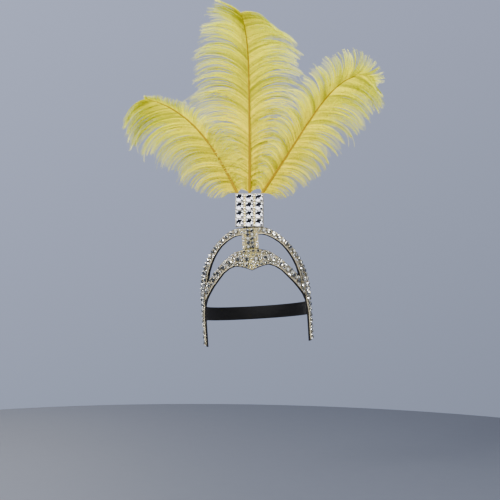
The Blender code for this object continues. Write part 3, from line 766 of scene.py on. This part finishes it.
def netSheet(name, outline):  # a flat pattern with thickness, bent round the crown
    curve = bpy.data.curves.new(name, "CURVE")
    curve.dimensions = "2D"
    curve.fill_mode = "BOTH"
    inside, outside = crown["gap"], crown["gap"] + crown["netThick"]
    curve.extrude = (outside - inside) / 2
    spline = curve.splines.new("POLY")
    spline.points.add(len(outline) - 1)
    for point, (around, up) in zip(spline.points, outline):
        point.co = (around, up, 0, 1)
    spline.use_cyclic_u = True
    flat = placed(name, curve)
    mesh = settledMesh(flat)
    bpy.data.objects.remove(flat)
    sheet = bmesh.new()
    sheet.from_mesh(mesh)
    bmesh.ops.remove_doubles(sheet, verts=sheet.verts, dist=trim["weld"])
    bends = int(max(abs(point[0]) for point in outline) // crown["step"])
    for number in range(-bends, bends + 1):
        bmesh.ops.bisect_plane(
            sheet, geom=[*sheet.verts, *sheet.edges, *sheet.faces], dist=trim["weld"],
            plane_co=(number * crown["step"], 0, 0), plane_no=(1, 0, 0),
        )
    layer = sheet.loops.layers.uv.new("flat")
    for face in sheet.faces:
        for loop in face.loops:
            loop[layer].uv = loop.vert.co.xy
    flats = np.array([vertex.co for vertex in sheet.verts])
    bent = onCrown(flats[:, 0], flats[:, 1], (inside + outside) / 2 + flats[:, 2])
    for vertex, place in zip(sheet.verts, bent):
        vertex.co = place
    bmesh.ops.recalc_face_normals(sheet, faces=sheet.faces)
    sheet.to_mesh(mesh)
    sheet.free()
    mesh.name = name
    mesh.materials.clear()
    mesh.materials.append(net.material)
    return placed(name, mesh)


def cordAlong(name, route, facing, radius, finish):  # a cord sewn along a route
    ways = np.gradient(route, axis=0)
    ways /= np.linalg.norm(ways, axis=1)[:, None]
    across = np.cross(ways, facing)
    across /= np.linalg.norm(across, axis=1)[:, None]
    sides = trim["cordSides"]
    points = [
        place + radius * (math.cos(angle) * side + math.sin(angle) * up)
        for place, side, up in zip(route, across, facing)
        for angle in [2 * math.pi * number / sides for number in range(sides)]
    ]
    piece = closedTube(name, points, sides, finish)
    piece.data.shade_smooth()
    return piece


def joinPieces(name, pieces):
    made = bmesh.new()
    for piece in pieces:
        made.from_mesh(piece.data)
    mesh = bpy.data.meshes.new(name)
    made.to_mesh(mesh)
    made.free()
    for material in pieces[0].data.materials:
        mesh.materials.append(material)
    for piece in pieces:
        bpy.data.objects.remove(piece)
    return placed(name, mesh)


def scatter(outline, stones, width, count, space, seed):  # places left between the larger stones
    chance = np.random.default_rng(seed)
    tries = chance.uniform(outline.min(axis=0), outline.max(axis=0), (count, 2))
    tries = tries[insideOutline(outline, tries)]
    near = np.linalg.norm(tries[:, None] - finely(outline)[None], axis=2).min(axis=1)
    tries = tries[near > width * trim["edgeShare"]]
    return withoutTouching([(*place, width) for place in tries], space, stones)


def jewelTrim(name, node, outline, stones, tries, bindings, length):  # net, stones, what fills them, edge cords
    outline = np.asarray(outline)
    x, y = outline.T
    area = 0.5 * abs(np.dot(x, np.roll(y, 1)) - np.dot(y, np.roll(x, 1)))
    top = crown["gap"] + crown["netThick"]
    sheet = kept(netSheet(name + "Net", outline), "jewelled_net", node)
    rows = [("Stones", stones, trim["rise"], 0, stoneShape, smoky), ("Cups", stones, trim["rise"], 0, cup, cupMetal)]
    taken = list(stones)
    for (title, width, space, seed, *looks), count in zip(fillings, tries):
        places = scatter(outline, taken, width, count, space, seed)
        taken += places
        rows.append((title, places, *looks))
    for title, places, tall, lift, shape, finish in rows:
        if places:
            points = stonePoints(name + title, places, top + lift, tall)
            spin, seed = trim["setSpin"] if places is stones else trim["looseSpin"]
            piece = setStones.grow(name + title, points, finish, Shape=shape, Spin=spin, Seed=seed)
            kept(piece, "jewelled_net")
    cords = []
    for number, line in enumerate(bindings):
        facing = facingOf(line[:, 0])
        route = onCrown(*line.T, top + trim["binding"] * trim["bindingSeat"])
        cords.append(cordAlong(f"{name}Cord{number}", route, facing, trim["binding"] / 2, tanThread))
    kept(joinPieces(name + "Binding", cords), "jewelled_net")
    float(area / length)


def makeTrims():
    margin, gap = crown["netMargin"], crown["gap"]
    top = fromSide(offsetLine(lines["outer"], -margin / 2), postSide)
    low = fromSide(offsetLine(lines["archLow"], margin), postSide)
    top, low = top[top[:, 1] > tailEnd], low[low[:, 1] > tailEnd]
    archOutline = np.vstack([top, (top[-1, 0], tailEnd), (low[-1, 0], tailEnd), low[::-1]])
    stone, pitch = trim["archStone"], trim["archPitch"]
    stones = stonesAlong(lines["outer"], -(stone / 2 + margin / 2 + gap), pitch, stone, postSide + pitch)
    stones += stonesAlong(lines["archLow"], stone / 2 + margin + gap, pitch, stone, postSide + pitch / 2)
    stones = [
        place for place in withoutTouching(stones, trim["stoneSpace"])
        if place[0] > postSide + stone / 2 and place[1] > tailEnd + stone / 2
    ]
    for side, name in ((-1, "Left"), (1, "Right")):
        flip = np.array([side, 1])
        places = [(side * around, up, width) for around, up, width in stones]
        jewelTrim(
            "arch" + name, "arch_trim_" + name.lower(), archOutline * flip, places, trim["stripTries"], [low * flip],
            lineLength(low)[-1],
        )

    top = fromSide(offsetLine(lines["bandTop"], -margin / 2), 0)
    low = fromSide(offsetLine(lines["browLow"], margin), 0)
    top = top[top[:, 1] > np.interp(top[:, 0], *low.T) + margin]
    low = low[low[:, 0] < top[-1, 0]]
    half = np.vstack([low, top[::-1]])
    bandOutline = np.vstack([half, (half[::-1] * (-1, 1))[1:-1]])
    browLow = lines["browLow"]
    middle = (np.column_stack([browLow[:, 0], np.interp(browLow[:, 0], *lines["bandTop"].T)]) + browLow) / 2
    edge, small = trim["edgeStone"], trim["bandPitch"] / 2
    stones = stonesAlong(middle, 0, trim["bandPitch"], trim["bandStone"], trim["bandPitch"] / 2)
    stones += stonesAlong(browLow, margin + edge / 2 + gap, small, edge, small / 2)
    stones += stonesAlong(lines["bandTop"], -(margin + edge) / 2 - gap, small, edge, small / 2)
    stones = [
        (a, u, w) for a, u, w in withoutTouching(stones, trim["stoneSpace"])
        if a > (w + trim["stoneSpace"]) / 2
        and np.interp(a, *low.T) + w / 2 < u < np.interp(a, *top.T) - w / 2
    ]
    places = stones + [(-a, u, w) for a, u, w in stones]
    cord = np.vstack([(low * (-1, 1))[:0:-1], low])
    jewelTrim("brow", "brow_trim", bandOutline, places, trim["stripTries"], [cord], 2 * lineLength(low)[-1])

    side = crown["postWidth"] / 2
    foot, head = lines["bandTop"][0, 1] + gap, height(1) - margin / 2
    postOutline = [(-side, foot), (side, foot), (side, head), (-side, head)]
    stone, pitch = trim["postStone"], trim["postPitch"]
    count = int((head - foot - stone) // pitch) + 1
    first = (foot + head - (count - 1) * pitch) / 2
    across = (stone + trim["stoneSpace"]) / 2 + gap
    places = [(way * across, first + number * pitch, stone) for number in range(count) for way in (-1, 1)]
    rows = np.linspace(foot, head, 12)
    cords = [np.column_stack([np.full(len(rows), way * trim["postCord"]), rows]) for way in (-1, 1)]
    jewelTrim("post", "post_trim", postOutline, places, trim["postTries"], cords, head - foot)


makeTrims()
print("net and stones set")


# The crystal panel

spray = {
    "lean": math.radians(3.65),
    "foot": (0, -crown["frontDepth"], crown["browHeight"] + crown["archRise"]),
    "panelHeight": 0.0576,
    "panelThick": 0.0027,
    "panelFoot": 0.0009,
    "crystal": 0.0120,
    "columns": 3,
    "rows": 4,
    "columnPitch": 0.0164,
    "rowPitch": 0.0139,
    "pocketThick": 0.0090,
    "pocketHeight": 0.0560,
    "pocketFoot": 0.0013,
    "quillSpacing": 0.0205,
    "quillStep": 0.0020,
}
panel = {
    "crystalSeat": 0.0011,
    "crystalTall": 0.0104,
    "settingSeat": 0.0008,
    "settingTall": 0.0046,
    "settingWidth": 0.99,
    "accent": 0.0036,
    "accentTall": 0.0026,
    "accentPitch": 0.0042,
    "accents": 13,
}
sprayFrame = Matrix.Translation(spray["foot"]) @ Matrix.Rotation(spray["lean"], 4, "Y")


def onSpray(points):  # from the spray's own upright frame
    turn = np.array(sprayFrame)
    return np.asarray(points, float) @ turn[:3, :3].T + turn[:3, 3]


def sprayWay(*way):
    return onSpray([way])[0] - onSpray([(0, 0, 0)])[0]


def crystalShape(name):  # a square cushion crystal of width 1, its table seen down to the pavilion
    def ring(half, corner, z):
        a, b = half, half - corner
        return [(a, -b, z), (a, b, z), (b, a, z), (-b, a, z), (-a, b, z), (-a, -b, z), (-b, -a, z), (b, -a, z)]

    def middles(half, z):
        return [(half * math.cos(t), half * math.sin(t), z) for t in np.arange(8) * math.pi / 4]

    points = ring(0.50, 0.20, 0.0) + ring(0.50, 0.20, 0.16) + middles(0.42, 0.27) + ring(0.30, 0.12, 0.36)
    points += middles(0.17, 0.30) + [(0, 0, 0.24), (0, 0, 0)]
    faces = []
    for i in range(8):
        j = (i + 1) % 8
        mid, inner = 16 + i, 32 + i
        faces += [(i, j, 8 + j, 8 + i), (j, i, 41)]
        faces += [(8 + i, 8 + j, mid), (8 + j, 24 + j, mid), (8 + i, mid, 24 + i), (24 + i, mid, 24 + j)]
        faces += [(24 + i, 24 + j, inner), (inner, 24 + j, 32 + j), (inner, 32 + j, 40)]
    return closedShape(name, points, faces)


def paintCrystalReflections(shape):  # painted reflections and shade: facets dark above and at the lower right, white below, fixed where a lit foil-backed crystal shows them
    for facet, tag in zip(shape.data.polygons, shape.data.attributes["facet"].data):
        x, y, z = facet.center
        out, angle = math.hypot(x, y), math.degrees(math.atan2(y, x))
        if out < 0.13 and (facet.index % 2 or 20 < angle < 120):
            tag.value = 0.74
        elif 0.13 < out < 0.47 and 2 < angle < 172:
            tag.value = 0.71 + 0.12 * (facet.index % 3) / 2
        elif 0.22 < out and (-80 < angle < -22 or abs(angle) > 168):
            tag.value = 0.73
        else:
            tag.value *= 0.58
    return shape


def setOnSpray(name, places, side, girth, finish, slot, *nodes, **values):
    points, count = newObject(name, onSpray(places)), len(places)
    withAttributes(points, facing=[sprayWay(0, -1, 0)] * count, side=[side] * count, girth=[girth] * count)
    kept(setStones.grow(name, points, finish, **values), slot, *nodes)


def makePanel():
    face = -crown["gap"] - spray["panelThick"]
    middle = spray["panelFoot"] + spray["panelHeight"] / 2
    size, small = spray["crystal"], panel["accent"]
    right = sprayWay(1, 0, 0)
    diagonal = (right + np.cross(sprayWay(0, -1, 0), right)) / math.sqrt(2)
    shape = helper(paintCrystalReflections(facetNumbers(crystalShape("crystalShape"))))
    xs = (np.arange(spray["columns"]) - (spray["columns"] - 1) / 2) * spray["columnPitch"]
    zs = middle + (np.arange(spray["rows"]) - (spray["rows"] - 1) / 2) * spray["rowPitch"]
    for row, z in enumerate(zs[::-1]):
        for column, x in enumerate(xs):
            name = f"crystal_r{row + 1}_c{column + 1}"
            setOnSpray(
                name + "Look", [(x, face + panel["crystalSeat"], z)], right, (size, size, panel["crystalTall"]),
                crystal, "crystal_glass", name, Shape=shape, Spin=0.02, Seed=row * 3 + column,
            )
    wide = size * math.sqrt(2) * panel["settingWidth"]
    setOnSpray(
        "squareSettings", [(x, face + panel["settingSeat"], z) for x in xs for z in zs], diagonal,
        (wide, wide, panel["settingTall"]), silver, "silver_setting", Shape=squareCup, Spin=0.0, Seed=1,
    )
    heights = middle + (np.arange(panel["accents"]) - panel["accents"] // 2) * panel["accentPitch"]
    setOnSpray(
        "accentStones", [(way * spray["columnPitch"] / 2, face, z) for way in (-1, 1) for z in heights], right,
        (small, small, panel["accentTall"]), accent, "silver_setting", Shape=smallShape, Spin=3.0, Seed=31,
    )


makePanel()
print("crystals set")


# The plumes, with the same lines as their solids

barbs = {
    "bare": 0.0025,
    "pitch": 0.00052,
    "girth": 0.00030,
    "tipGirth": 0.00013,
    "bladeLength": 0.0021,
    "bladeWidth": 0.00125,
    "bladeSpacing": 0.00054,
    "angle": 0.72,
    "roll": 0.9,
    "steps": 14,
    "curlPower": 1.3,
    "lock": 4,  # barbs that cling together towards their tips
    "cling": 0.78,
    "clingRange": (0.4, 1.2),
    "clingPower": 1.6,
    "turnWander": (60, 4.0, 3.0),  # knots along the quill, their spread, and each barb's own
    "bowWander": (25, 5, 5),
    "lengthWander": (45, 0.05, 0.05),
    "splitReach": 0.035,
    "tuckEnd": 0.52,
    "tuckFade": 0.20,
    "short": (0.25, 0.12),  # how much shorter, and how many
    "toneSpread": (0.58, 0.32, 0.12),  # middle, from lock to lock, and from barb to barb
    "wave": 0.0016,
    "waveTurns": (5, 11),
}
quill = {
    "rings": 60,
    "sides": 10,
    "end": 0.985,
    "seat": 0.018,
    "foot": 0.0020,
    "tip": 0.0005,
    "taper": 0.8,
    "groove": 0.72,
}
plumes = {
    "left": {
        "length": 0.237, "barb": 0.112, "foot": -26, "sway": -12, "tip": -46, "tipPower": 2.6,
        "tilt": -4, "nod": 50, "nodPower": 5, "bow": (22, -22), "number": -1, "seed": 21, "tuck": 0,
        "strays": ((-1, 0.58, 1.12, 20), (-1, 0.76, 1.14, 26), (1, 0.40, 1.30, -20)),
        "splits": ((-1, 0.46, 5), (-1, 0.62, 8), (-1, 0.80, 6), (1, 0.55, 8)),
        "rows": (  # along, left, right, spreadLeft, spreadRight, curl
            (0.00, 0.30, 0.20, 58, 60, 64),
            (0.14, 0.64, 0.36, 50, 50, 76),
            (0.35, 0.88, 0.39, 42, 40, 82),
            (0.60, 1.00, 0.30, 36, 26, 78),
            (0.82, 0.85, 0.18, 32, 14, 70),
            (1.00, 0.58, 0.08, 10, 4, 84),
        ),
    },
    "centre": {
        "length": 0.311, "barb": 0.110, "foot": 0, "sway": -1, "tip": -22, "tipPower": 8.0,
        "tilt": 0, "nod": 48, "nodPower": 6, "bow": (25, -20), "number": 0, "seed": 22, "tuck": 62,
        "strays": (
            (1, 0.30, 1.20, -50), (1, 0.33, 1.12, -66), (1, 0.36, 1.16, -58), (-1, 0.50, 1.10, 25),
            (1, 0.62, 1.12, 20),
        ),
        "splits": ((-1, 0.40, 6), (-1, 0.58, 7), (-1, 0.74, 9), (1, 0.36, 7), (1, 0.52, 10), (1, 0.80, 5)),
        "rows": (
            (0.00, 0.27, 0.24, 50, 50, 60),
            (0.14, 0.64, 0.50, 46, 46, 76),
            (0.35, 0.87, 0.76, 44, 44, 86),
            (0.60, 1.00, 0.95, 40, 40, 88),
            (0.82, 0.82, 0.84, 28, 62, 80),
            (1.00, 0.46, 0.50, 14, 112, 50),
        ),
    },
    "right": {
        "length": 0.295, "barb": 0.092, "foot": 34, "sway": -3, "tip": 104, "tipPower": 6.0,
        "tilt": 4, "nod": 50, "nodPower": 6, "bow": (25, 25), "number": 1, "seed": 23, "tuck": 0,
        "strays": ((-1, 0.38, 1.20, -30), (-1, 0.52, 1.16, 24), (1, 0.50, 1.10, 26), (1, 0.66, 1.08, -20)),
        "splits": ((-1, 0.44, 8), (-1, 0.60, 9), (-1, 0.72, 6), (1, 0.42, 6), (1, 0.60, 9), (1, 0.76, 6)),
        "rows": (
            (0.00, 0.26, 0.37, 50, 55, 60),
            (0.14, 0.46, 0.67, 44, 48, 76),
            (0.35, 0.64, 0.87, 34, 44, 80),
            (0.60, 0.72, 1.00, 26, 40, 76),
            (0.82, 0.58, 0.88, 16, 36, 76),
            (1.00, 0.32, 0.38, -30, 14, 18),
        ),
    },
}


def quillFrames(plume, shares):  # place, direction and right-hand side along a plume's quill
    s = np.linspace(0, 1, 241)
    heading = np.radians(plume["foot"] + plume["sway"] * s + plume["tip"] * s ** plume["tipPower"])
    pitch = np.radians(plume["tilt"] + plume["nod"] * s ** plume["nodPower"])
    ways = np.column_stack([np.sin(heading) * np.cos(pitch), -np.sin(pitch), np.cos(heading) * np.cos(pitch)])
    sides = np.column_stack([np.cos(heading), 0 * s, -np.sin(heading)])
    number = plume["number"]
    foot = [number * spray["quillSpacing"], spray["pocketThick"] / 2 - number * spray["quillStep"],
            spray["pocketFoot"] + spray["pocketHeight"]]
    steps = (ways[1:] + ways[:-1]) / 2 * plume["length"] / (len(s) - 1)
    places = np.array(foot) + np.vstack([np.zeros(3), np.cumsum(steps, axis=0)])
    return [np.column_stack([np.interp(shares, s, column) for column in table.T]) for table in (places, ways, sides)]


def barbLines(plume, side, shares, turnMore, bowMore, longer):  # a line for each barb, and the way its vane faces
    rows = np.array(plume["rows"])
    along = (shares * plume["length"] - barbs["bare"]) / (plume["length"] - barbs["bare"])
    column = 1 if side < 0 else 2
    reach, spread, curl = [np.interp(along, rows[:, 0], rows[:, c]) for c in (column, column + 2, 5)]
    bow = plume["bow"][0 if side < 0 else 1]
    place, way, facing = quillFrames(plume, shares)
    forward = np.cross(way, facing)
    forward *= np.where(forward[:, 1] > 0, -1, 1)[:, None]
    q = np.linspace(0, 1, barbs["steps"] + 1)[None, :, None]
    turn = np.radians(spread[:, None, None] + (curl + turnMore)[:, None, None] * q ** barbs["curlPower"])
    rise = np.radians((bow + bowMore)[:, None, None]) * (1 - 2 * q)
    ways = (
        np.cos(turn) * np.cos(rise) * way[:, None]
        + np.sin(turn) * np.cos(rise) * side * facing[:, None]
        + np.sin(rise) * forward[:, None]
    )
    steps = (ways[:, 1:] + ways[:, :-1]) / 2 * (reach * longer * plume["barb"] / barbs["steps"])[:, None, None]
    points = place[:, None] + np.concatenate([np.zeros((len(shares), 1, 3)), np.cumsum(steps, axis=1)], axis=1)
    across = np.cross(ways, forward[:, None])
    flat = np.cross(across, ways)
    return points, flat / np.linalg.norm(flat, axis=2)[:, :, None]


def wander(chance, shares, start, knots, spread, own):  # a value that drifts along the quill and from barb to barb
    drift = np.interp(shares, np.linspace(0, 1, knots), chance.normal(0, spread, knots))
    return start + drift + chance.normal(0, own, len(shares))


def makeVane(name, plume, side):
    chance = np.random.default_rng(plume["seed"] + (40 if side > 0 else 0))
    first = barbs["bare"] / plume["length"]
    count = round((plume["length"] - barbs["bare"]) / barbs["pitch"])
    shares = np.clip(np.linspace(first, 1, count) + chance.uniform(-0.3, 0.3, count) / count, first, 1)
    turn = wander(chance, shares, 0, *barbs["turnWander"])
    for way, station, opened in plume["splits"]:
        if way == side:
            away = shares - station
            turn -= opened * np.sign(away) * np.exp(-np.abs(away) / barbs["splitReach"])
    bow = wander(chance, shares, 0, *barbs["bowWander"])
    if side < 0:
        bow -= plume["tuck"] * np.clip((barbs["tuckEnd"] - shares) / barbs["tuckFade"], 0, 1)
    longer = wander(chance, shares, 1, *barbs["lengthWander"])
    less, share = barbs["short"]
    longer -= less * (chance.uniform(0, 1, count) < share)
    clings = chance.uniform(*barbs["clingRange"], count)
    locks = np.cumsum(chance.uniform(0, 1, count) < 1 / barbs["lock"])
    tone, lockSpread, barbSpread = barbs["toneSpread"]
    lockTones = chance.normal(tone, lockSpread, locks[-1] + 1)
    tones = np.clip(lockTones[locks] + chance.normal(0, barbSpread, count), 0, 1)
    for way, station, stretch, curlMore in plume["strays"]:
        if way == side:
            loose = np.argsort(np.abs(shares - station))[:2]
            longer[loose] *= stretch
            turn[loose] += curlMore + np.array([0, 9])
            clings[loose] = 0
            tones[loose] = 1
    points, flat = barbLines(plume, side, shares, turn, bow, longer)
    middles = np.array([shares[locks == lock].mean() for lock in locks])
    own = [np.interp(middles, shares, column) for column in (turn, bow, longer)]
    lead, _ = barbLines(plume, side, middles, *own)
    q = np.linspace(0, 1, barbs["steps"] + 1)
    cling = barbs["cling"] * clings[:, None, None] * (q ** barbs["clingPower"])[None, :, None]
    points = points + (lead - points) * cling
    wave = chance.uniform(0, 2 * math.pi, count)[:, None]
    wave = wave + q[None] * chance.uniform(*barbs["waveTurns"], count)[:, None]
    points += flat * (np.sin(wave) * q[None] * barbs["wave"])[:, :, None]
    steps = len(q)
    edges = [(b * steps + i, b * steps + i + 1) for b in range(count) for i in range(steps - 1)]
    spines = newObject(name, onSpray(points.reshape(-1, 3)), edges)
    turned = flat.reshape(-1, 3) @ np.array(sprayFrame)[:3, :3].T
    girth = barbs["girth"] + (barbs["tipGirth"] - barbs["girth"]) * q
    withAttributes(
        spines, flat=turned, girth=np.tile(girth, count), along=np.tile(q, count),
        station=np.repeat(shares, steps), tone=np.repeat(tones, steps),
    )
    return growBarbs.grow(
        name, spines, plumeYellow, Blade=blade, Spacing=barbs["bladeSpacing"], Length=barbs["bladeLength"],
        Width=barbs["bladeWidth"], Angle=barbs["angle"], Roll=barbs["roll"], Seed=plume["seed"],
    )


def makeQuill(name, plume):
    shares = np.linspace(0, quill["end"], quill["rings"])
    places, ways, sides = quillFrames(plume, shares)
    places = np.vstack([places[0] - quill["seat"] * ways[0], places])
    ways, sides = np.vstack([ways[:1], ways]), np.vstack([sides[:1], sides])
    out = np.cross(ways, sides)
    out *= np.where(out[:, 1] > 0, -1, 1)[:, None]
    along = np.r_[0, shares]
    widths = quill["foot"] * (1 - along) ** quill["taper"] + quill["tip"]
    points, across = [], []
    count = quill["sides"]
    for place, side, up, half in zip(places, sides, out, widths):
        for number in range(count):
            angle = 2 * math.pi * number / count
            groove = quill["groove"] if number == count // 4 else 1.0
            proud = half * 0.5 + half * 0.8 * groove * math.sin(angle)
            points.append(place + half * math.cos(angle) * side + proud * up)
            across.append(abs(math.cos(angle)))
    piece = closedTube(name, onSpray(points), count, quillGold)
    withAttributes(piece, across=across, along=np.repeat(along, count))
    piece.data.shade_smooth()
    return piece


for title, plume in plumes.items():
    node = "feather_" + title
    for side, half in ((-1, "Left"), (1, "Right")):
        vane = makeVane(f"{title}Plume{half}Vane", plume, side)
        kept(vane, "yellow_plume", node)
        print(vane.name, len(vane.data.polygons), "faces")
    kept(makeQuill(title + "PlumeQuill", plume), "yellow_plume", node)


# The elastic strap

strap = {
    "width": 0.024,
    "thick": 0.0015,
    "back": 0.092,
    "slope": math.radians(5),
    "tab": 0.018,
    "steps": 220,
    "ribs": 16,
    "ribSteps": 4,
    "ripple": (0.82, 0.18),  # share of the thickness between the ribs, and what a rib adds
    "edge": 0.4,
}


def makeStrap():
    inside = -(crown["feltThick"] + crown["gap"] + strap["thick"] / 2)
    tabs = np.linspace(crown["sideReach"] - strap["tab"], crown["sideReach"], 8)
    tail = onCrown(tabs, 0 * tabs, inside)[:, :2]
    across, start = tail[-1]
    turns = np.linspace(0, math.pi / 2, 49)[1:]
    back = strap["back"] - strap["thick"] / 2 - start
    right = np.vstack([tail, np.column_stack([across * np.cos(turns), start + back * np.sin(turns)])])
    plan = np.vstack([right, (right[:-1] * (-1, 1))[::-1]])
    plan = alongLine(plan, np.linspace(0, lineLength(plan)[-1], strap["steps"]))
    along = lineLength(plan)
    ways = np.gradient(plan, axis=0)
    ways /= np.linalg.norm(ways, axis=1)[:, None]
    out = np.column_stack([ways[:, 1], -ways[:, 0]])
    ribs = strap["ribs"] * strap["ribSteps"]
    v = np.linspace(-0.5, 0.5, ribs + 1)
    between, rib = strap["ripple"]
    ripple = (strap["thick"] / 2) * (between + rib * np.abs(np.sin(v * math.pi * strap["ribs"])))
    ripple[[0, -1]] *= strap["edge"]
    points, coords = [], []
    for (x, y), way, place in zip(plan, out, along):
        drop = -max(0, y - start) * math.tan(strap["slope"])
        for face in (1, -1):
            order = range(ribs + 1) if face > 0 else range(ribs, -1, -1)
            for i in order:
                z = drop + v[i] * strap["width"]
                points.append((x + face * ripple[i] * way[0], y + face * ripple[i] * way[1], z))
                coords.append((place, v[i] * strap["width"]))
    piece = closedTube("elasticStrap", points, 2 * (ribs + 1), elastic)
    layer = piece.data.uv_layers.new(name="flat")
    for loop in piece.data.loops:
        layer.data[loop.index].uv = coords[loop.vertex_index]
    kept(piece, "black_elastic", "head_strap")


makeStrap()
print("strap made")


# Stitching

sewing = {
    "proud": 0.00005,
    "strapSpacing": 0.0030,
    "strapBox": (0.003, 0.0155, 0.009),  # near and far side from the tail's edge, half height
    "pocketSpacing": 0.0033,
    "pocketHalf": 0.023,
    "seam": 0.0022,
    "channel": 0.0102,
    "channelFoot": 0.006,
}


def sew(name, slot, routes, spacing):  # each route is its points and the way the thread faces
    points, edges, facings = [], [], []
    for route, facing in routes:
        first = len(points)
        points += [tuple(place) for place in route]
        facings += [tuple(way) for way in facing]
        edges += [(number, number + 1) for number in range(first, len(points) - 1)]
    line = withAttributes(newObject(name, points, edges), facing=facings)
    kept(sewStitches.grow(name, line, blackThread, Shape=stitch, Spacing=spacing), slot)


def sewStrap():
    depth = -(crown["feltThick"] + crown["gap"] + strap["thick"] + sewing["proud"])
    near, far, half = sewing["strapBox"]
    a, b, c, d = (far, -half), (far, half), (near, half), (near, -half)
    routes = []
    for side in (-1, 1):
        for corners in ((a, b, c, d, a), (a, c), (b, d)):
            flat = [(side * (crown["sideReach"] - inward), up - crown["browHeight"]) for inward, up in corners]
            flat = finely(np.array(flat))
            routes.append((onCrown(*flat.T, depth), -facingOf(flat[:, 0])))
    sew("strapStitches", "black_elastic", routes, sewing["strapSpacing"])


def sewPocket():
    seam, channel = sewing["seam"], sewing["channel"]
    half, foot = sewing["pocketHalf"] - seam, spray["pocketFoot"] + seam
    top = spray["pocketFoot"] + spray["pocketHeight"] - seam
    back = spray["pocketThick"] + sewing["proud"]
    routes = []
    for corners in (
        ((-half, top), (-half, foot), (half, foot), (half, top)),
        ((-channel, top), (-channel, foot + sewing["channelFoot"])),
        ((channel, top), (channel, foot + sewing["channelFoot"])),
    ):
        flat = finely(np.array(corners))
        route = onSpray(np.column_stack([flat[:, 0], np.full(len(flat), back), flat[:, 1]]))
        routes.append((route, [sprayWay(0, 1, 0)] * len(route)))
    sew("pocketStitches", "black_felt", routes, sewing["pocketSpacing"])


sewStrap()
sewPocket()


# The nodes that stay

for node, finish in (("felt_crown", felt), ("feather_pocket", felt), ("panel_plate", silver)):
    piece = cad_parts[node]
    piece.data.materials.clear()
    piece.data.materials.append(finish.material)


# Floor, light and camera

studio = {
    "floorDrop": -0.33,
    "floorRadius": 1.25,
    "floorTilt": math.radians(4.8),
    "camera": (0.0863, -2.1983, 0.107),
    "heading": math.radians(2.4),
    "roll": math.radians(-3.65),
    "lens": 89.0,
    "sky": [
        (0.0, (0.08, 0.085, 0.10)), (0.40, (0.31, 0.355, 0.48)),
        (0.60, (0.46, 0.51, 0.70)), (1.0, (0.80, 0.83, 0.90)),
    ],
    "behind": [(0.30, (0.45, 0.45, 0.45)), (0.62, (1, 1, 1))],
    "right": [(0.38, (1, 1, 1)), (0.62, (0.80, 0.80, 0.80))],
    "lights": (  # name, place, target, size, power
        ("keyLight", (-1.3, -1.9, 1.3), (0, 0, 0.25), 0.8, 152),
        ("fillLight", (1.6, -1.6, 0.7), (0, 0, 0.2), 0.7, 74),
        ("topLight", (0.1, 0.3, 1.9), (0, 0, 0.3), 0.8, 34),
        ("rimLight", (-0.9, 1.6, 0.9), (0, 0, 0.3), 0.7, 20),
    ),
    "lightColour": (1.0, 0.98, 0.93),
}


def makeStudio():
    bpy.ops.mesh.primitive_circle_add(vertices=96, radius=studio["floorRadius"], fill_type="NGON")
    floor = bpy.context.object
    floor.name = "floor"
    tilt = Matrix.Rotation(studio["floorTilt"], 4, "Y")
    floor.data.transform(Matrix.Translation((0, 0, studio["floorDrop"])) @ tilt)
    paper = Finish("paleFloor", Roughness=0.7)
    grain = paper.noise(40, 2, paper.place())
    paper.feed("Base Color", paper.mix(grain, (0.042, 0.050, 0.076), (0.048, 0.057, 0.083)))
    floor.data.materials.append(paper.material)

    world = bpy.data.worlds.new("studio")
    bpy.context.scene.world = world
    world.use_nodes = True
    sky = Graph(world.node_tree)
    way = sky.node("ShaderNodeTexCoord", {}, {}, "Generated")
    x, y, up = sky.both("ShaderNodeSeparateXYZ", {}, {0: way}, 0, 1, 2)
    shade = sky.ramp(up * 0.5 + 0.5, studio["sky"])
    shade = sky.mix(1.0, shade, sky.ramp(y * 0.5 + 0.5, studio["behind"]), "MULTIPLY")
    shade = sky.mix(1.0, shade, sky.ramp(x * 0.5 + 0.5, studio["right"]), "MULTIPLY")
    back = world.node_tree.nodes["Background"]
    world.node_tree.links.new(shade.socket, back.inputs[0])
    back.inputs[1].default_value = 1.0

    for name, place, target, size, power in studio["lights"]:
        lamp = bpy.data.lights.new(name, "AREA")
        lamp.shape = "SQUARE"
        lamp.size = size
        lamp.energy = power
        lamp.color = studio["lightColour"]
        light = placed(name, lamp)
        light.location = place
        light.rotation_euler = (Vector(target) - Vector(place)).to_track_quat("-Z", "Y").to_euler()

    lens = bpy.data.cameras.new("camera")
    lens.lens = studio["lens"]
    camera = placed("camera", lens)
    upright = Matrix.Rotation(studio["heading"], 4, "Z") @ Matrix.Rotation(math.pi / 2, 4, "X")
    camera.matrix_world = Matrix.Translation(studio["camera"]) @ upright @ Matrix.Rotation(studio["roll"], 4, "Z")
    bpy.context.scene.camera = camera


makeStudio()
for shape in helpers:
    bpy.data.objects.remove(shape)
print("done")
